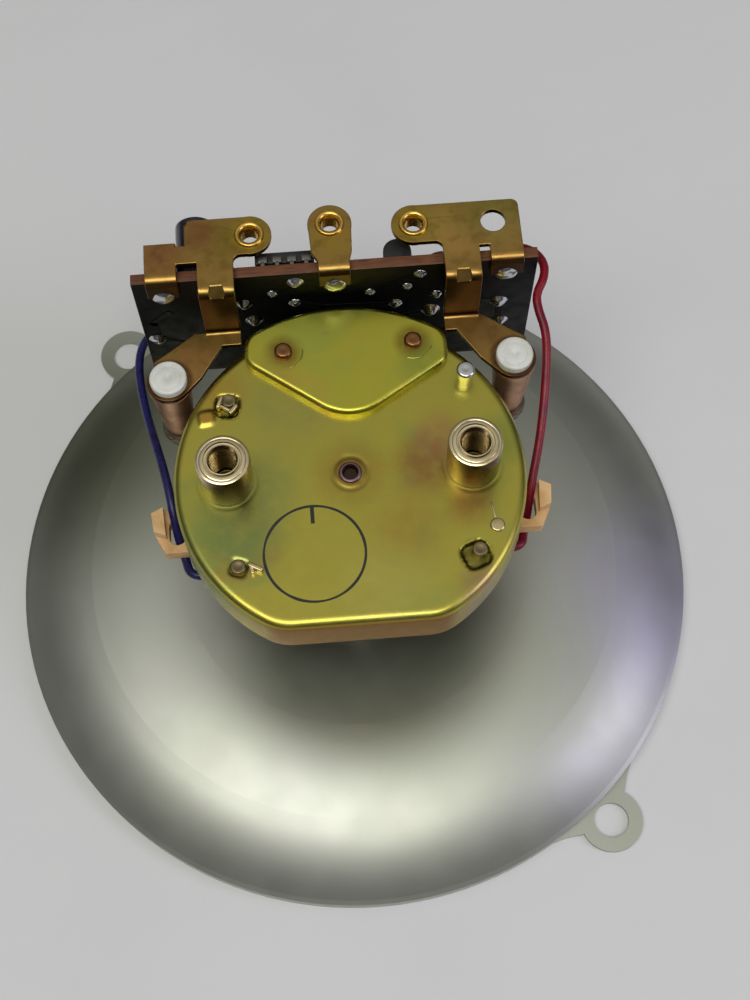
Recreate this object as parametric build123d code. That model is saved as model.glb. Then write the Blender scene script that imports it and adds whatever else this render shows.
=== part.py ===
from build123d import *
import os
from math import acos, cos, hypot, pi, radians, sin, tan

# Electric dial movement, millimetres.
# +Z is the rear of the instrument, +Y points from the spindle to the circuit board.
# The origin is the centre of the dial rim's base, on the surface that the rim stands on.

# ---------------------------------------------------------------- driving dimensions
DIAL_R = 50.0
SHEET_T = 0.8
RIM_H = 2.5
CROWN_Z = 9.6
CROWN_FLAT_R = 26.0
EAR_PCD_R = 53.0
EAR_ANGLE = -50.0
EAR_END_R = 4.5
EAR_HOLE_R = 2.5

FRONT_PLATE_T = 1.4
MID_PLATE_Z = 24.0
MID_PLATE_T = 1.2
PAN_Z = 32.0
PAN_TOP_Z = 39.0
PAN_R = 23.1
PAN_CHORD_Y = -20.6
PAN_EDGE_R = 1.2
PAD_H = 1.5
PAD_ARC_R = 24.0

STANDOFF_X = 16.0
STANDOFF_R = 3.5
STANDOFF_TOP_Z = 46.0
STANDOFF_HOLE_R = 1.65
STANDOFF_MOUTH_R = 2.05

BOARD_FACE_Y = 25.6
BOARD_T = 1.6
BOARD_HALF_X = 27.0
BOARD_Z = (22.0, 47.0)

STRAP_T = 0.8
TERMINAL_TOP_Z = 48.2
ARM_TOP_Z = 38.3
STRAP_WALL_Y = 22.6
EYELET_R = 2.0
EYELET_HOLE_R = 1.15
EYELETS = {"left": (-11.0, 31.3), "middle": (-0.3, 32.2), "right": (10.8, 31.3)}
EYE_PLATE_R = 2.95

POST_XY = (23.3, 15.6)
POST_TOP_R = 2.95
POST_FOOT_R = 2.0
POST_CAP_R = 2.5
POST_HOLE_R = 1.6

MODULE = 0.35
PINION_TEETH = 12
WHEEL_TEETH = 48
BACKLASH = 0.06
PRESSURE_ANGLE = radians(20)
GEAR_CENTRES = MODULE * (PINION_TEETH + WHEEL_TEETH) / 2
INTER_Y = GEAR_CENTRES
SPINDLE_R = 1.2
ROTOR_ARBOR_R = 0.9
INTER_ARBOR_R = 0.8
RUNNING_GAP = 0.03
HAND_REST_ANGLE = -60.0

MAGNET_R = 9.3
COIL_BORE_R = 10.8
COIL_R = 15.8
FLANGE_R = 16.4
CAN_R = 17.4
CAN_T = 0.7
LEAD_R = 0.6

MID_TOP_Z = MID_PLATE_Z + MID_PLATE_T
PAN_ROOF_Z = PAN_TOP_Z - SHEET_T
FRONT_TOP_Z = CROWN_Z + FRONT_PLATE_T
BOARD_BACK_Y = BOARD_FACE_Y + BOARD_T
ARM_Z = ARM_TOP_Z - STRAP_T
STRAP_Z = TERMINAL_TOP_Z - STRAP_T

parts = {}


# ---------------------------------------------------------------- helpers
def put(name, *solids):
    """Keep one node, as one solid or as a group of separate solids."""
    parts[name] = solids[0] if len(solids) == 1 else Compound(children=list(solids))


def rod(x, y, z0, z1, r):
    """Upright round bar between two heights."""
    return Pos(x, y, (z0 + z1) / 2) * Cylinder(r, z1 - z0)


def block(x0, x1, y0, y1, z0, z1):
    """Box between two corners."""
    return Pos((x0 + x1) / 2, (y0 + y1) / 2, (z0 + z1) / 2) * Box(x1 - x0, y1 - y0, z1 - z0)


def tube(x, y, z0, z1, r_out, r_in):
    """Upright ring or sleeve."""
    return rod(x, y, z0, z1, r_out) - rod(x, y, z0 - 1, z1 + 1, r_in)


def outline(points, z0, z1, radius=0.0):
    """Upright prism on a closed outline, its corners rounded by one radius."""
    face = make_face(Polyline(*points, close=True))
    if radius:
        face = fillet(face.vertices(), radius)
    return Pos(0, 0, z0) * extrude(face, z1 - z0)


def round_corners(solid, corners, radius):
    """Round the upright edges that stand nearest to the given (x, y) corners."""
    for corner in corners:
        upright = solid.edges().filter_by(Axis.Z)
        nearest = min(upright, key=lambda e: hypot(e.center().X - corner[0], e.center().Y - corner[1]))
        solid = fillet(nearest, radius)
    return solid


def mirror_x(points, side):
    """Outline points for the left (-1) or right (+1) side."""
    return [(side * x, y) for x, y in points]


def gear_face(teeth, first_tooth_deg, bore_r, tip_k, root_k):
    """Involute spur gear outline with a round bore, centred on the origin."""
    pitch_r = MODULE * teeth / 2
    base_r = pitch_r * cos(PRESSURE_ANGLE)
    tip_r = pitch_r + tip_k * MODULE
    root_r = pitch_r - root_k * MODULE
    half_pitch_tooth = (pi * MODULE / 2 - BACKLASH) / (2 * pitch_r)
    involute_at_pitch = tan(PRESSURE_ANGLE) - PRESSURE_ANGLE

    def half_angle(r):
        angle = acos(min(1.0, base_r / r))
        return half_pitch_tooth + involute_at_pitch - (tan(angle) - angle)

    start_r = max(base_r, root_r)
    flank = [root_r] if root_r < base_r else []
    flank += [start_r, (start_r + tip_r) / 2, tip_r]
    points = []
    for tooth in range(teeth):
        centre = radians(first_tooth_deg) + 2 * pi * tooth / teeth
        for side, radii in ((-1, flank), (1, flank[::-1])):
            for r in radii:
                angle = centre + side * half_angle(max(r, base_r))
                points.append((r * cos(angle), r * sin(angle)))
    return make_face(Polyline(*points, close=True)) - Circle(bore_r)


def gear(teeth, first_tooth_deg, bore_r, z0, z1, tip_k=1.0, root_k=1.25):
    return Pos(0, 0, z0) * extrude(gear_face(teeth, first_tooth_deg, bore_r, tip_k, root_k), z1 - z0)


def lead(points):
    """Round insulated wire along straight runs joined by tangent arcs."""
    vectors = [Vector(*p) for p in points]
    radii = []
    for before, here, after in zip(vectors, vectors[1:], vectors[2:]):
        run_in = here - before
        run_out = after - here
        turn = radians(run_in.get_angle(run_out))
        radii.append(0.45 * min(run_in.length, run_out.length) / tan(turn / 2))
    print("lead bend radii", [round(r, 1) for r in radii])
    path = FilletPolyline(*points, radius=radii)
    section = Plane(origin=path @ 0, z_dir=path % 0) * Circle(LEAD_R)
    wire = sweep(section, path=path)
    ideal_volume = pi * LEAD_R ** 2 * path.length
    print("lead length", round(path.length, 1), "volume ratio", round(wire.volume / ideal_volume, 4))
    return wire


# ---------------------------------------------------------------- dial plate
def dial_profile(offset):
    """Right half of the dish's section, moved inwards by one sheet thickness or none."""
    rim_r = DIAL_R - offset
    lip = (rim_r - 0.6, RIM_H + 0.4 - offset * 0.4)
    shoulder = (39.0, 8.0 - offset)
    crown = (CROWN_FLAT_R, CROWN_Z - offset)
    top = Line((0, CROWN_Z - offset), crown)
    first = TangentArc(crown, shoulder, tangent=(1, 0))
    second = TangentArc(shoulder, lip, tangent=first % 1)
    wall = Polyline(lip, (rim_r, RIM_H - offset * 0.6), (rim_r, -1 if offset else 0))
    close = Polyline((rim_r, -1 if offset else 0), (0, -1 if offset else 0), (0, CROWN_Z - offset))
    face = make_face(Curve() + [top, first, second, wall, close])
    return revolve(Plane.XZ * face, Axis.Z)


dish = dial_profile(0.0) - dial_profile(SHEET_T)
ear_holes = []
ears = []
for side in (-1, 1):
    turn = Rot(0, 0, EAR_ANGLE + (180 if side < 0 else 0))
    root = [(49.0, -9.0), (50.2, -6.4), (51.5, -4.4), (51.5, 4.4), (50.2, 6.4), (49.0, 9.0)]
    ear = outline(root, 0, SHEET_T) + rod(EAR_PCD_R, 0, 0, SHEET_T, EAR_END_R)
    ears.append(turn * (ear - rod(EAR_PCD_R, 0, -1, 2, EAR_HOLE_R)))
    ear_holes.append(turn * rod(EAR_PCD_R, 0, -1, 2, EAR_HOLE_R))
inside = rod(0, 0, -1, SHEET_T + 1, DIAL_R - SHEET_T)
dial_plate = dish
for ear in ears:
    dial_plate += ear - inside
for hole in ear_holes:
    dial_plate -= hole
SCREW_X = 9.0
SCREW_R = 1.25
BUSH_R = 2.4
for x in (-SCREW_X, SCREW_X):
    dial_plate -= rod(x, 0, 0, 12, SCREW_R)
dial_plate -= rod(0, 0, 0, 12, BUSH_R)
STOP_R = 21.0
stop_angle = radians(HAND_REST_ANGLE - 5.5)
stop_xy = (STOP_R * cos(stop_angle), STOP_R * sin(stop_angle))
put("dial_plate", dial_plate)
put("zero_stop", rod(*stop_xy, 4.2, CROWN_Z - SHEET_T, 0.5))

# ---------------------------------------------------------------- front plate and gear frame
GEAR_PILLARS = [(-12.5, 9.0), (12.5, 9.0), (0.0, -11.0)]
GEAR_PILLAR_R = 1.8
front_outline = [(-16, 20.5), (16, 20.5), (16, 6), (5, -13.2), (-5, -13.2), (-16, 6)]
front_plate = outline(front_outline, CROWN_Z, FRONT_TOP_Z, 2.5)
front_plate -= rod(0, 0, 0, 20, BUSH_R)
front_plate -= rod(0, INTER_Y, 0, 20, INTER_ARBOR_R + RUNNING_GAP)
for x in (-SCREW_X, SCREW_X):
    front_plate -= rod(x, 0, 0, 20, SCREW_R)
put("front_plate", front_plate)

dial_z = CROWN_Z - SHEET_T
screws = []
for x in (-SCREW_X, SCREW_X):
    head = fillet(rod(x, 0, dial_z - 1.0, dial_z, 2.2).edges().sort_by(Axis.Z)[0], 0.5)
    slot = block(x - 3, x + 3, -0.25, 0.25, dial_z - 1.5, dial_z - 0.55)
    screws.append(head - slot + rod(x, 0, dial_z, FRONT_TOP_Z, SCREW_R))
put("dial_screws", *screws)

front_bush = rod(0, 0, dial_z - 1.2, FRONT_TOP_Z, BUSH_R) + rod(0, 0, FRONT_TOP_Z, FRONT_TOP_Z + 0.8, 3.4)
put("front_bush", front_bush - rod(0, 0, 0, 20, SPINDLE_R + RUNNING_GAP))
put("gear_pillars", *[rod(x, y, FRONT_TOP_Z, MID_PLATE_Z, GEAR_PILLAR_R) for x, y in GEAR_PILLARS])

# ---------------------------------------------------------------- middle plate
COVER_PILLARS = [(-15.4, 11.8), (-15.1, -12.0), (15.7, -12.0)]
GROUND_PIN = (16.2, 12.3)
COVER_PILLAR_R = 1.5
ROTOR_BUSH_R = 2.2
middle_plate = rod(0, 0, MID_PLATE_Z, MID_TOP_Z, 21.2) - block(-30, 30, -30, -16.5, 20, 30)
for side in (-1, 1):
    x, y = POST_XY
    ear = mirror_x([(8, 14.5), (12, 6.5), (x + 1.4, y - 2.4), (x - 1.2, y + 2.4)], side)
    middle_plate += outline(ear, MID_PLATE_Z, MID_TOP_Z) + rod(side * x, y, MID_PLATE_Z, MID_TOP_Z, 2.6)
middle_plate -= rod(0, 0, 20, 30, ROTOR_BUSH_R)
middle_plate -= rod(0, INTER_Y, 20, 30, INTER_ARBOR_R + RUNNING_GAP)
put("middle_plate", middle_plate)
bush_foot_z = MID_PLATE_Z - 0.6
rotor_bush = rod(0, 0, bush_foot_z, MID_TOP_Z, ROTOR_BUSH_R)
rotor_bush += rod(0, 0, bush_foot_z, MID_PLATE_Z, ROTOR_BUSH_R + 0.8)
put("rotor_bush", rotor_bush - rod(0, 0, 20, 30, ROTOR_ARBOR_R + RUNNING_GAP))

# ---------------------------------------------------------------- motor
CAN_TOP_Z = 31.4
POLE_T = 0.7
CLAW_R = (9.9, 10.5)
CLAW_COUNT = 6


def claws(z0, z1, first_deg):
    """Ring of pole fingers between the magnet and a coil."""
    ring = tube(0, 0, z0, z1, CLAW_R[1], CLAW_R[0])
    fingers = []
    for i in range(CLAW_COUNT):
        wedge = Rot(0, 0, first_deg + i * 360 / CLAW_COUNT) * block(5, 12, -1.7, 1.7, z0 - 1, z1 + 1)
        fingers.append(ring & wedge)
    return fingers


stator_can = tube(0, 0, MID_TOP_Z, CAN_TOP_Z, CAN_R, CAN_R - CAN_T)
stator_can += tube(0, 0, MID_TOP_Z, MID_TOP_Z + CAN_T, CAN_R, CLAW_R[0])
for finger in claws(MID_TOP_Z, CAN_TOP_Z - 1.2, 0):
    stator_can += finger
ARM_Y = (-6.6, -0.2)
LUG_Z = (CAN_TOP_Z - 2.0, CAN_TOP_Z)
for side in (-1, 1):
    x0, x1 = sorted((side * 14.0, side * 20.0))
    stator_can -= block(x0, x1, ARM_Y[0] - 0.3, ARM_Y[1] + 0.3, LUG_Z[0] - 0.3, CAN_TOP_Z + 1)
put("stator_can", stator_can)

pole_ring = tube(0, 0, CAN_TOP_Z, CAN_TOP_Z + POLE_T, CAN_R, CLAW_R[0])
for finger in claws(CAN_TOP_Z + POLE_T, PAN_ROOF_Z - 1.4, 30):
    pole_ring += finger
put("pole_ring", pole_ring)


def bobbin(z0, z1):
    """Spool with two flanges."""
    spool = tube(0, 0, z0, z1, COIL_BORE_R + 0.7, COIL_BORE_R)
    spool += tube(0, 0, z0, z0 + 0.7, FLANGE_R, COIL_BORE_R)
    return spool + tube(0, 0, z1 - 0.7, z1, FLANGE_R, COIL_BORE_R)


front_z = (MID_TOP_Z + CAN_T, CAN_TOP_Z)
rear_z = (CAN_TOP_Z + POLE_T, PAN_ROOF_Z)
bobbin_front = bobbin(*front_z)
LUG_SLOT_X = 23.5
LUG_SLOT_Y = (-4.2, -2.7)
LUG_SLOT_R = 1.1
SHELF_FACE_X = 20.4
SHELF_Z = (LUG_Z[0] - 1.6, LUG_Z[0] + 0.6)
for side in (-1, 1):
    arm = [(15.0, -6.4), (15.0, -0.5), (23.2, -0.5), (25.6, -0.2), (26.8, -1.1), (26.5, -3.8), (25.2, -6.4)]
    hook = [(24.9, -4.4), (25.2, -0.3), (26.8, -1.1), (26.5, -3.8)]
    lug = outline(mirror_x(arm, side), *LUG_Z) + outline(mirror_x(hook, side), LUG_Z[1], LUG_Z[1] + 1.6)
    slot_x = sorted((side * (LUG_SLOT_X - LUG_SLOT_R), side * (LUG_SLOT_X + LUG_SLOT_R)))
    lug -= block(*slot_x, *LUG_SLOT_Y, 20, 40)
    for y in LUG_SLOT_Y:
        lug -= rod(side * LUG_SLOT_X, y, 20, 40, LUG_SLOT_R)
    shelf = [(15.0, -5.8), (SHELF_FACE_X, -5.8), (SHELF_FACE_X, -10.3), (18.2, -10.7), (15.0, -9.7)]
    shelf_solid = outline(mirror_x(shelf, side), *SHELF_Z) - rod(0, 0, 20, 40, CAN_R + 0.2)
    bobbin_front += lug - rod(0, 0, 20, 40, COIL_R + 0.1) + shelf_solid
put("bobbin_front", bobbin_front)
put("bobbin_rear", bobbin(*rear_z))
put("winding_front", tube(0, 0, front_z[0] + 0.7, front_z[1] - 0.7, COIL_R, COIL_BORE_R + 0.7))
put("winding_rear", tube(0, 0, rear_z[0] + 0.7, rear_z[1] - 0.7, COIL_R, COIL_BORE_R + 0.7))

MAGNET_Z = (26.8, 37.0)
HUB_R = 3.2
put("rotor_magnet", tube(0, 0, *MAGNET_Z, MAGNET_R, HUB_R))
put("rotor_hub", tube(0, 0, MAGNET_Z[0] - 0.5, MAGNET_Z[1] + 0.3, HUB_R, ROTOR_ARBOR_R))
rotor_arbor = rod(0, 0, 19.0, PAN_ROOF_Z + 0.3, ROTOR_ARBOR_R)
put("rotor_arbor", rotor_arbor)
put("rotor_pinion", gear(PINION_TEETH, 90, ROTOR_ARBOR_R, 19.3, 22.3))

# ---------------------------------------------------------------- gear train
half_tooth = 180 / WHEEL_TEETH
arbor_at = Pos(0, INTER_Y, 0)
WHEEL_K = {"tip_k": 0.75, "root_k": 1.35}
put("intermediate_arbor", rod(0, INTER_Y, CROWN_Z + 0.2, MID_TOP_Z - 0.3, INTER_ARBOR_R))
intermediate_wheel = gear(WHEEL_TEETH, -90 + half_tooth, INTER_ARBOR_R, 20.2, 21.4, **WHEEL_K)
hand_wheel = gear(WHEEL_TEETH, 90 + half_tooth, SPINDLE_R, 14.2, 15.4, **WHEEL_K)
for i in range(4):
    window = Rot(0, 0, 45 + 90 * i) * rod(5.0, 0, 10, 30, 1.7)
    intermediate_wheel -= window
    hand_wheel -= window
intermediate_wheel += tube(0, 0, 18.4, 20.2, 2.2, INTER_ARBOR_R)
put("intermediate_wheel", arbor_at * intermediate_wheel)
put("intermediate_pinion", arbor_at * gear(PINION_TEETH, -90, INTER_ARBOR_R, 13.3, 16.3))
put("hand_wheel", hand_wheel + tube(0, 0, 12.3, 14.2, 2.5, SPINDLE_R))
put("hand_spindle", rod(0, 0, 3.9, 17.2, SPINDLE_R))

# ---------------------------------------------------------------- hand
HAND_Z = (4.8, 5.4)
HAND_LENGTH = 34.0
blade = [(-10.0, -1.5), (0, -1.3), (HAND_LENGTH - 1.5, -0.4), (HAND_LENGTH, 0)]
blade += [(HAND_LENGTH - 1.5, 0.4), (0, 1.3), (-10.0, 1.5)]
hand = outline(blade, *HAND_Z) + rod(0, 0, *HAND_Z, 3.2) + rod(0, 0, HAND_Z[1], 6.4, 2.0)
put("hand", Rot(0, 0, HAND_REST_ANGLE) * (hand - rod(0, 0, 0, 10, SPINDLE_R)))
hand_cap = rod(0, 0, 3.0, HAND_Z[0], 2.7)
hand_cap = fillet(hand_cap.edges().sort_by(Axis.Z)[0], 0.7)
put("hand_cap", hand_cap - rod(0, 0, 3.9, 10, SPINDLE_R))

# ---------------------------------------------------------------- rear cover
def pan_face(offset):
    """Round cover outline with one flat chord, both corners of the flat rounded."""
    face = Circle(PAN_R - offset) & Pos(0, 50 + PAN_CHORD_Y + offset) * Rectangle(100, 100)
    return fillet(face.vertices().sort_by(Axis.Y)[:2], 7.0)


BEARING_R = 1.5
SPIGOT_R = 1.0
rear_cover = Pos(0, 0, PAN_Z) * extrude(pan_face(0), PAN_TOP_Z - PAN_Z)
rear_cover = fillet(rear_cover.faces().sort_by(Axis.Z)[-1].edges(), PAN_EDGE_R)
rear_cover -= Pos(0, 0, PAN_Z - 1) * extrude(pan_face(SHEET_T), PAN_ROOF_Z - PAN_Z + 1)
rear_cover -= rod(0, 0, 30, 50, BEARING_R)
for x, y in COVER_PILLARS + [GROUND_PIN]:
    rear_cover -= rod(x, y, 30, 50, SPIGOT_R)
SPIGOT_STANDOFF_R = 2.6
for side in (-1, 1):
    rear_cover -= rod(side * STANDOFF_X, 0, 30, 50, SPIGOT_STANDOFF_R)
RIVETS = [(-7.7, 17.6), (9.7, 17.9)]
RIVET_R = 0.8
for x, y in RIVETS:
    rear_cover -= rod(x, y, 30, 50, RIVET_R)
put("rear_cover", rear_cover)

BEARING_FLANGE_R = 2.6
BEARING_FLANGE_T = 0.5
flange_z = PAN_ROOF_Z - BEARING_FLANGE_T
bearing = rod(0, 0, flange_z, PAN_TOP_Z + 0.35, BEARING_R)
bearing += rod(0, 0, flange_z, PAN_ROOF_Z, BEARING_FLANGE_R)
bearing -= rod(0, 0, 30, 50, ROTOR_ARBOR_R + RUNNING_GAP)
put("rear_bearing", bearing)

pad = [(-12.9, 30), (-12.9, 16.5), (0.5, 6.5), (14.3, 15.0), (14.3, 30)]
bridge_plate = outline(pad, PAN_TOP_Z, PAN_TOP_Z + PAD_H) & rod(0, 0, 30, 50, PAD_ARC_R)
corners = bridge_plate.edges().filter_by(Axis.Z).sort_by(Axis.Y)
bridge_plate = fillet(corners[0], 7.0)
bridge_plate = fillet(bridge_plate.edges().filter_by(Axis.Z).sort_by(Axis.Y)[2:], 2.8)
bridge_plate = fillet(bridge_plate.faces().sort_by(Axis.Z)[-1].edges(), 0.7)
for x, y in RIVETS:
    bridge_plate -= rod(x, y, 30, 50, RIVET_R)
put("bridge_plate", bridge_plate)
rivets = []
for x, y in RIVETS:
    head = rod(x, y, PAN_TOP_Z + PAD_H, PAN_TOP_Z + PAD_H + 0.9, 1.15)
    head = fillet(head.edges().sort_by(Axis.Z)[-1], 0.6)
    rivets.append(head + rod(x, y, PAN_ROOF_Z, PAN_TOP_Z + PAD_H, RIVET_R))
put("bridge_rivets", *rivets)

standoffs = []
for side in (-1, 1):
    body = rod(side * STANDOFF_X, 0, PAN_TOP_Z, STANDOFF_TOP_Z, STANDOFF_R)
    body = chamfer(body.edges().sort_by(Axis.Z)[-1], 0.25)
    body += rod(side * STANDOFF_X, 0, PAN_ROOF_Z, PAN_TOP_Z, SPIGOT_STANDOFF_R)
    body -= rod(side * STANDOFF_X, 0, PAN_ROOF_Z + 0.6, 50, STANDOFF_HOLE_R)
    mouth = Cone(STANDOFF_HOLE_R, STANDOFF_MOUTH_R + 0.2, 0.6)
    standoffs.append(body - Pos(side * STANDOFF_X, 0, STANDOFF_TOP_Z - 0.3) * mouth)
put("standoffs", *standoffs)

pillars = []
for x, y in COVER_PILLARS:
    stem = rod(x, y, MID_TOP_Z, PAN_ROOF_Z, COVER_PILLAR_R)
    pillars.append(stem + rod(x, y, PAN_ROOF_Z, PAN_TOP_Z + 0.6, SPIGOT_R))
put("cover_pillars", *pillars)
PIN_HEAD_Z = (40.6, 42.2)
ground_pin = rod(*GROUND_PIN, MID_TOP_Z, PAN_ROOF_Z, COVER_PILLAR_R)
ground_pin += rod(*GROUND_PIN, PAN_ROOF_Z, PIN_HEAD_Z[0], SPIGOT_R)
ground_pin += fillet(rod(*GROUND_PIN, *PIN_HEAD_Z, 1.25).edges(), 0.3)
put("ground_pin", ground_pin)

tab_a = Pos(-15.8, 9.4, PAN_TOP_Z + 0.3) * Rot(0, 0, -8) * Box(2.2, 2.2, 0.6)
tab_b = Pos(-12.9, -12.3, PAN_TOP_Z + 0.4) * Rot(0, 0, -20) * Box(1.9, 1.5, 0.8)
tab_c = rod(18.3, -8.8, PAN_TOP_Z, PAN_TOP_Z + 0.35, 0.9)
put("cover_tabs", *[fillet(tab.faces().sort_by(Axis.Z)[-1].edges(), 0.2) for tab in (tab_a, tab_b, tab_c)])

# ---------------------------------------------------------------- circuit board
TAB_SPAN = {"left": (-25.0, -20.8), "right": (20.6, 25.0), "middle": (-2.2, 2.0)}
TAB_END_Z = {"left": 44.4, "right": 44.6, "middle": 44.6}
board = block(-BOARD_HALF_X, BOARD_HALF_X, BOARD_FACE_Y, BOARD_BACK_Y, *BOARD_Z)
board = chamfer(board.edges().filter_by(Axis.Y), 0.8)
put("circuit_board", board)

# ---------------------------------------------------------------- terminals
BEND = 1.2
FOOT_BEND = 0.5


def bent_strip(x0, x1, y_wall, z_low, y_end=None):
    """Strip that turns down from the top plate and, if y_end is given, out again along the arm."""
    outer = block(x0, x1, y_wall, y_wall + 6, z_low, TERMINAL_TOP_Z)
    outer = fillet(outer.edges().filter_by(Axis.X).sort_by(lambda e: e.center().Y - e.center().Z)[0], BEND)
    hollow = block(x0 - 1, x1 + 1, y_wall + STRAP_T, y_wall + 7, z_low - 1, STRAP_Z)
    inner_edge = hollow.edges().filter_by(Axis.X).sort_by(lambda e: e.center().Y - e.center().Z)[0]
    hollow = fillet(inner_edge, BEND - STRAP_T)
    strip = outer - hollow
    if y_end is None:
        return strip
    foot = block(x0, x1, y_end, y_wall + STRAP_T, z_low, z_low + STRAP_T)
    root_z = z_low + STRAP_T
    corner = block(x0, x1, y_wall - FOOT_BEND, y_wall, root_z, root_z + FOOT_BEND)
    hollow_bar = Rot(0, 90, 0) * Cylinder(FOOT_BEND, x1 - x0 + 2)
    corner -= Pos((x0 + x1) / 2, y_wall - FOOT_BEND, root_z + FOOT_BEND) * hollow_bar
    return strip + foot + corner


def dart(x):
    """Pressed stiffening dart in the middle of a strip's upper bend."""
    return Pos(x, STRAP_WALL_Y - 0.1, TERMINAL_TOP_Z + 0.1) * Rot(45, 0, 0) * Cone(1.2, 0.0, 2.2)


def side_terminal(side, plate_points, corners, strip_x, tab_x, tab_z, eyelet):
    """Screw terminal: top plate, soldered tab, strip over the board and arm to the post."""
    terminal = round_corners(outline(plate_points, STRAP_Z, TERMINAL_TOP_Z), corners, 1.0)
    terminal += rod(*eyelet, STRAP_Z, TERMINAL_TOP_Z, EYE_PLATE_R)
    terminal += bent_strip(*strip_x, STRAP_WALL_Y, ARM_Z, 20.5)
    terminal += bent_strip(*tab_x, BOARD_FACE_Y - STRAP_T, tab_z)
    x, y = POST_XY
    arm = [(side * 14.6, 22.6), (side * 18.9, 15.9), (side * 20.9, 13.8), (side * x, y - 2.2)]
    arm += [(side * (x + 2.2), y), (side * 25.2, 18.6), (side * 19.6, 22.6)]
    terminal += outline(arm, ARM_Z, ARM_TOP_Z, 0.4) + rod(side * x, y, ARM_Z, ARM_TOP_Z, 3.0)
    terminal -= rod(side * x, y, ARM_Z - 1, ARM_TOP_Z + 1, POST_HOLE_R)
    terminal -= rod(*eyelet, 40, 50, EYELET_HOLE_R + 0.4)
    return terminal - dart(sum(strip_x) / 2)


left_points = [(-11.0, 34.2), (-19.6, 34.2), (-19.6, 30.3), (-25.0, 30.3), (-25.0, 26.5), (-20.8, 26.5)]
left_points += [(-20.8, 27.6), (-18.1, 27.6), (-18.1, 24.6), (-13.3, 24.6), (-13.3, 28.4), (-11.0, 28.4)]
right_points = [(10.8, 34.2), (25.0, 34.2), (25.0, 26.5), (20.6, 26.5), (20.6, 27.4), (19.2, 27.4)]
right_points += [(19.2, 24.6), (14.4, 24.6), (14.4, 28.4), (10.8, 28.4)]
left_corners = [(-19.6, 34.2), (-25.0, 30.3), (-13.3, 28.4)]
right_corners = [(25.0, 34.2), (14.4, 28.4)]
terminal_left = side_terminal(
    -1, left_points, left_corners, (-18.1, -13.3), TAB_SPAN["left"], TAB_END_Z["left"], EYELETS["left"])
terminal_right = side_terminal(
    1, right_points, right_corners, (14.4, 19.2), TAB_SPAN["right"], TAB_END_Z["right"], EYELETS["right"])
terminal_right -= rod(21.4, 31.0, 40, 50, 1.65)

x, y = EYELETS["middle"]
middle_points = [(x - 2.9, y), (x - 2.7, 28.0), (-2.2, 26.6), (2.0, 26.6), (x + 2.7, 28.0), (x + 2.9, y)]
terminal_middle = outline(middle_points, STRAP_Z, TERMINAL_TOP_Z)
terminal_middle += rod(x, y, STRAP_Z, TERMINAL_TOP_Z, EYE_PLATE_R)
terminal_middle += bent_strip(*TAB_SPAN["middle"], BOARD_FACE_Y - STRAP_T, TAB_END_Z["middle"])
terminal_middle -= rod(x, y, 40, 50, EYELET_HOLE_R + 0.4)
put("terminal_left", terminal_left)
put("terminal_middle", terminal_middle)
put("terminal_right", terminal_right)

EYELET_WALL = 0.4
EYELET_RIM_H = 0.35
EYELET_SLEEVE = 1.6
eyelets = []
for x, y in EYELETS.values():
    rim_top = TERMINAL_TOP_Z + EYELET_RIM_H
    rim = fillet(rod(x, y, TERMINAL_TOP_Z, rim_top, EYELET_R).edges().sort_by(Axis.Z)[-1], 0.3)
    eyelet = rim + rod(x, y, STRAP_Z - EYELET_SLEEVE, TERMINAL_TOP_Z, EYELET_HOLE_R + EYELET_WALL)
    eyelets.append(eyelet - rod(x, y, 40, 50, EYELET_HOLE_R))
put("terminal_eyelets", *eyelets)

# ---------------------------------------------------------------- solder
def board_cone(x, z, foot_r, tip_r, height):
    """Solder cone standing on the board's solder face."""
    at_foot = (Align.CENTER, Align.CENTER, Align.MIN)
    return Pos(x, BOARD_FACE_Y, z) * Rot(90, 0, 0) * Cone(foot_r, tip_r, height, align=at_foot)


blobs = [(-12.5, 40.0, 0.9), (-5.4, 44.8, 0.9), (-5.7, 39.5, 0.7), (-11.5, 35.5, 1.0), (8.0, 37.5, 0.8)]
blobs += [(12.9, 35.2, 1.1), (13.6, 39.2, 0.7), (11.3, 44.8, 0.7), (-25.3, 32.2, 1.0), (23.0, 30.8, 0.9)]
blobs += [(22.4, 36.2, 1.0), (-8.6, 42.3, 0.6), (4.6, 41.0, 0.6), (9.6, 41.8, 0.6)]
SOLDER_H = 0.45
TAB_SOLDER = (1.9, 1.1, 1.1)
solder = []
for x, z, r in blobs:
    solder.append(board_cone(x, z, r, 0.45 * r, SOLDER_H * r))
for name, (x0, x1) in TAB_SPAN.items():
    x = (x0 + x1) / 2
    z = TAB_END_Z[name]
    tab_end = block(x0, x1, BOARD_FACE_Y - STRAP_T, BOARD_FACE_Y, z, z + 5)
    solder.append(board_cone(x, z, *TAB_SOLDER) - tab_end)
put("solder_joints", *solder)

# ---------------------------------------------------------------- board components
def lying_can(x, z, r, y1):
    """Round part standing out from the back of the board."""
    can = Pos(x, (BOARD_BACK_Y + y1) / 2, z) * Rot(90, 0, 0) * Cylinder(r, y1 - BOARD_BACK_Y)
    return fillet(can.edges().sort_by(Axis.Y)[-1], 0.9)


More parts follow.
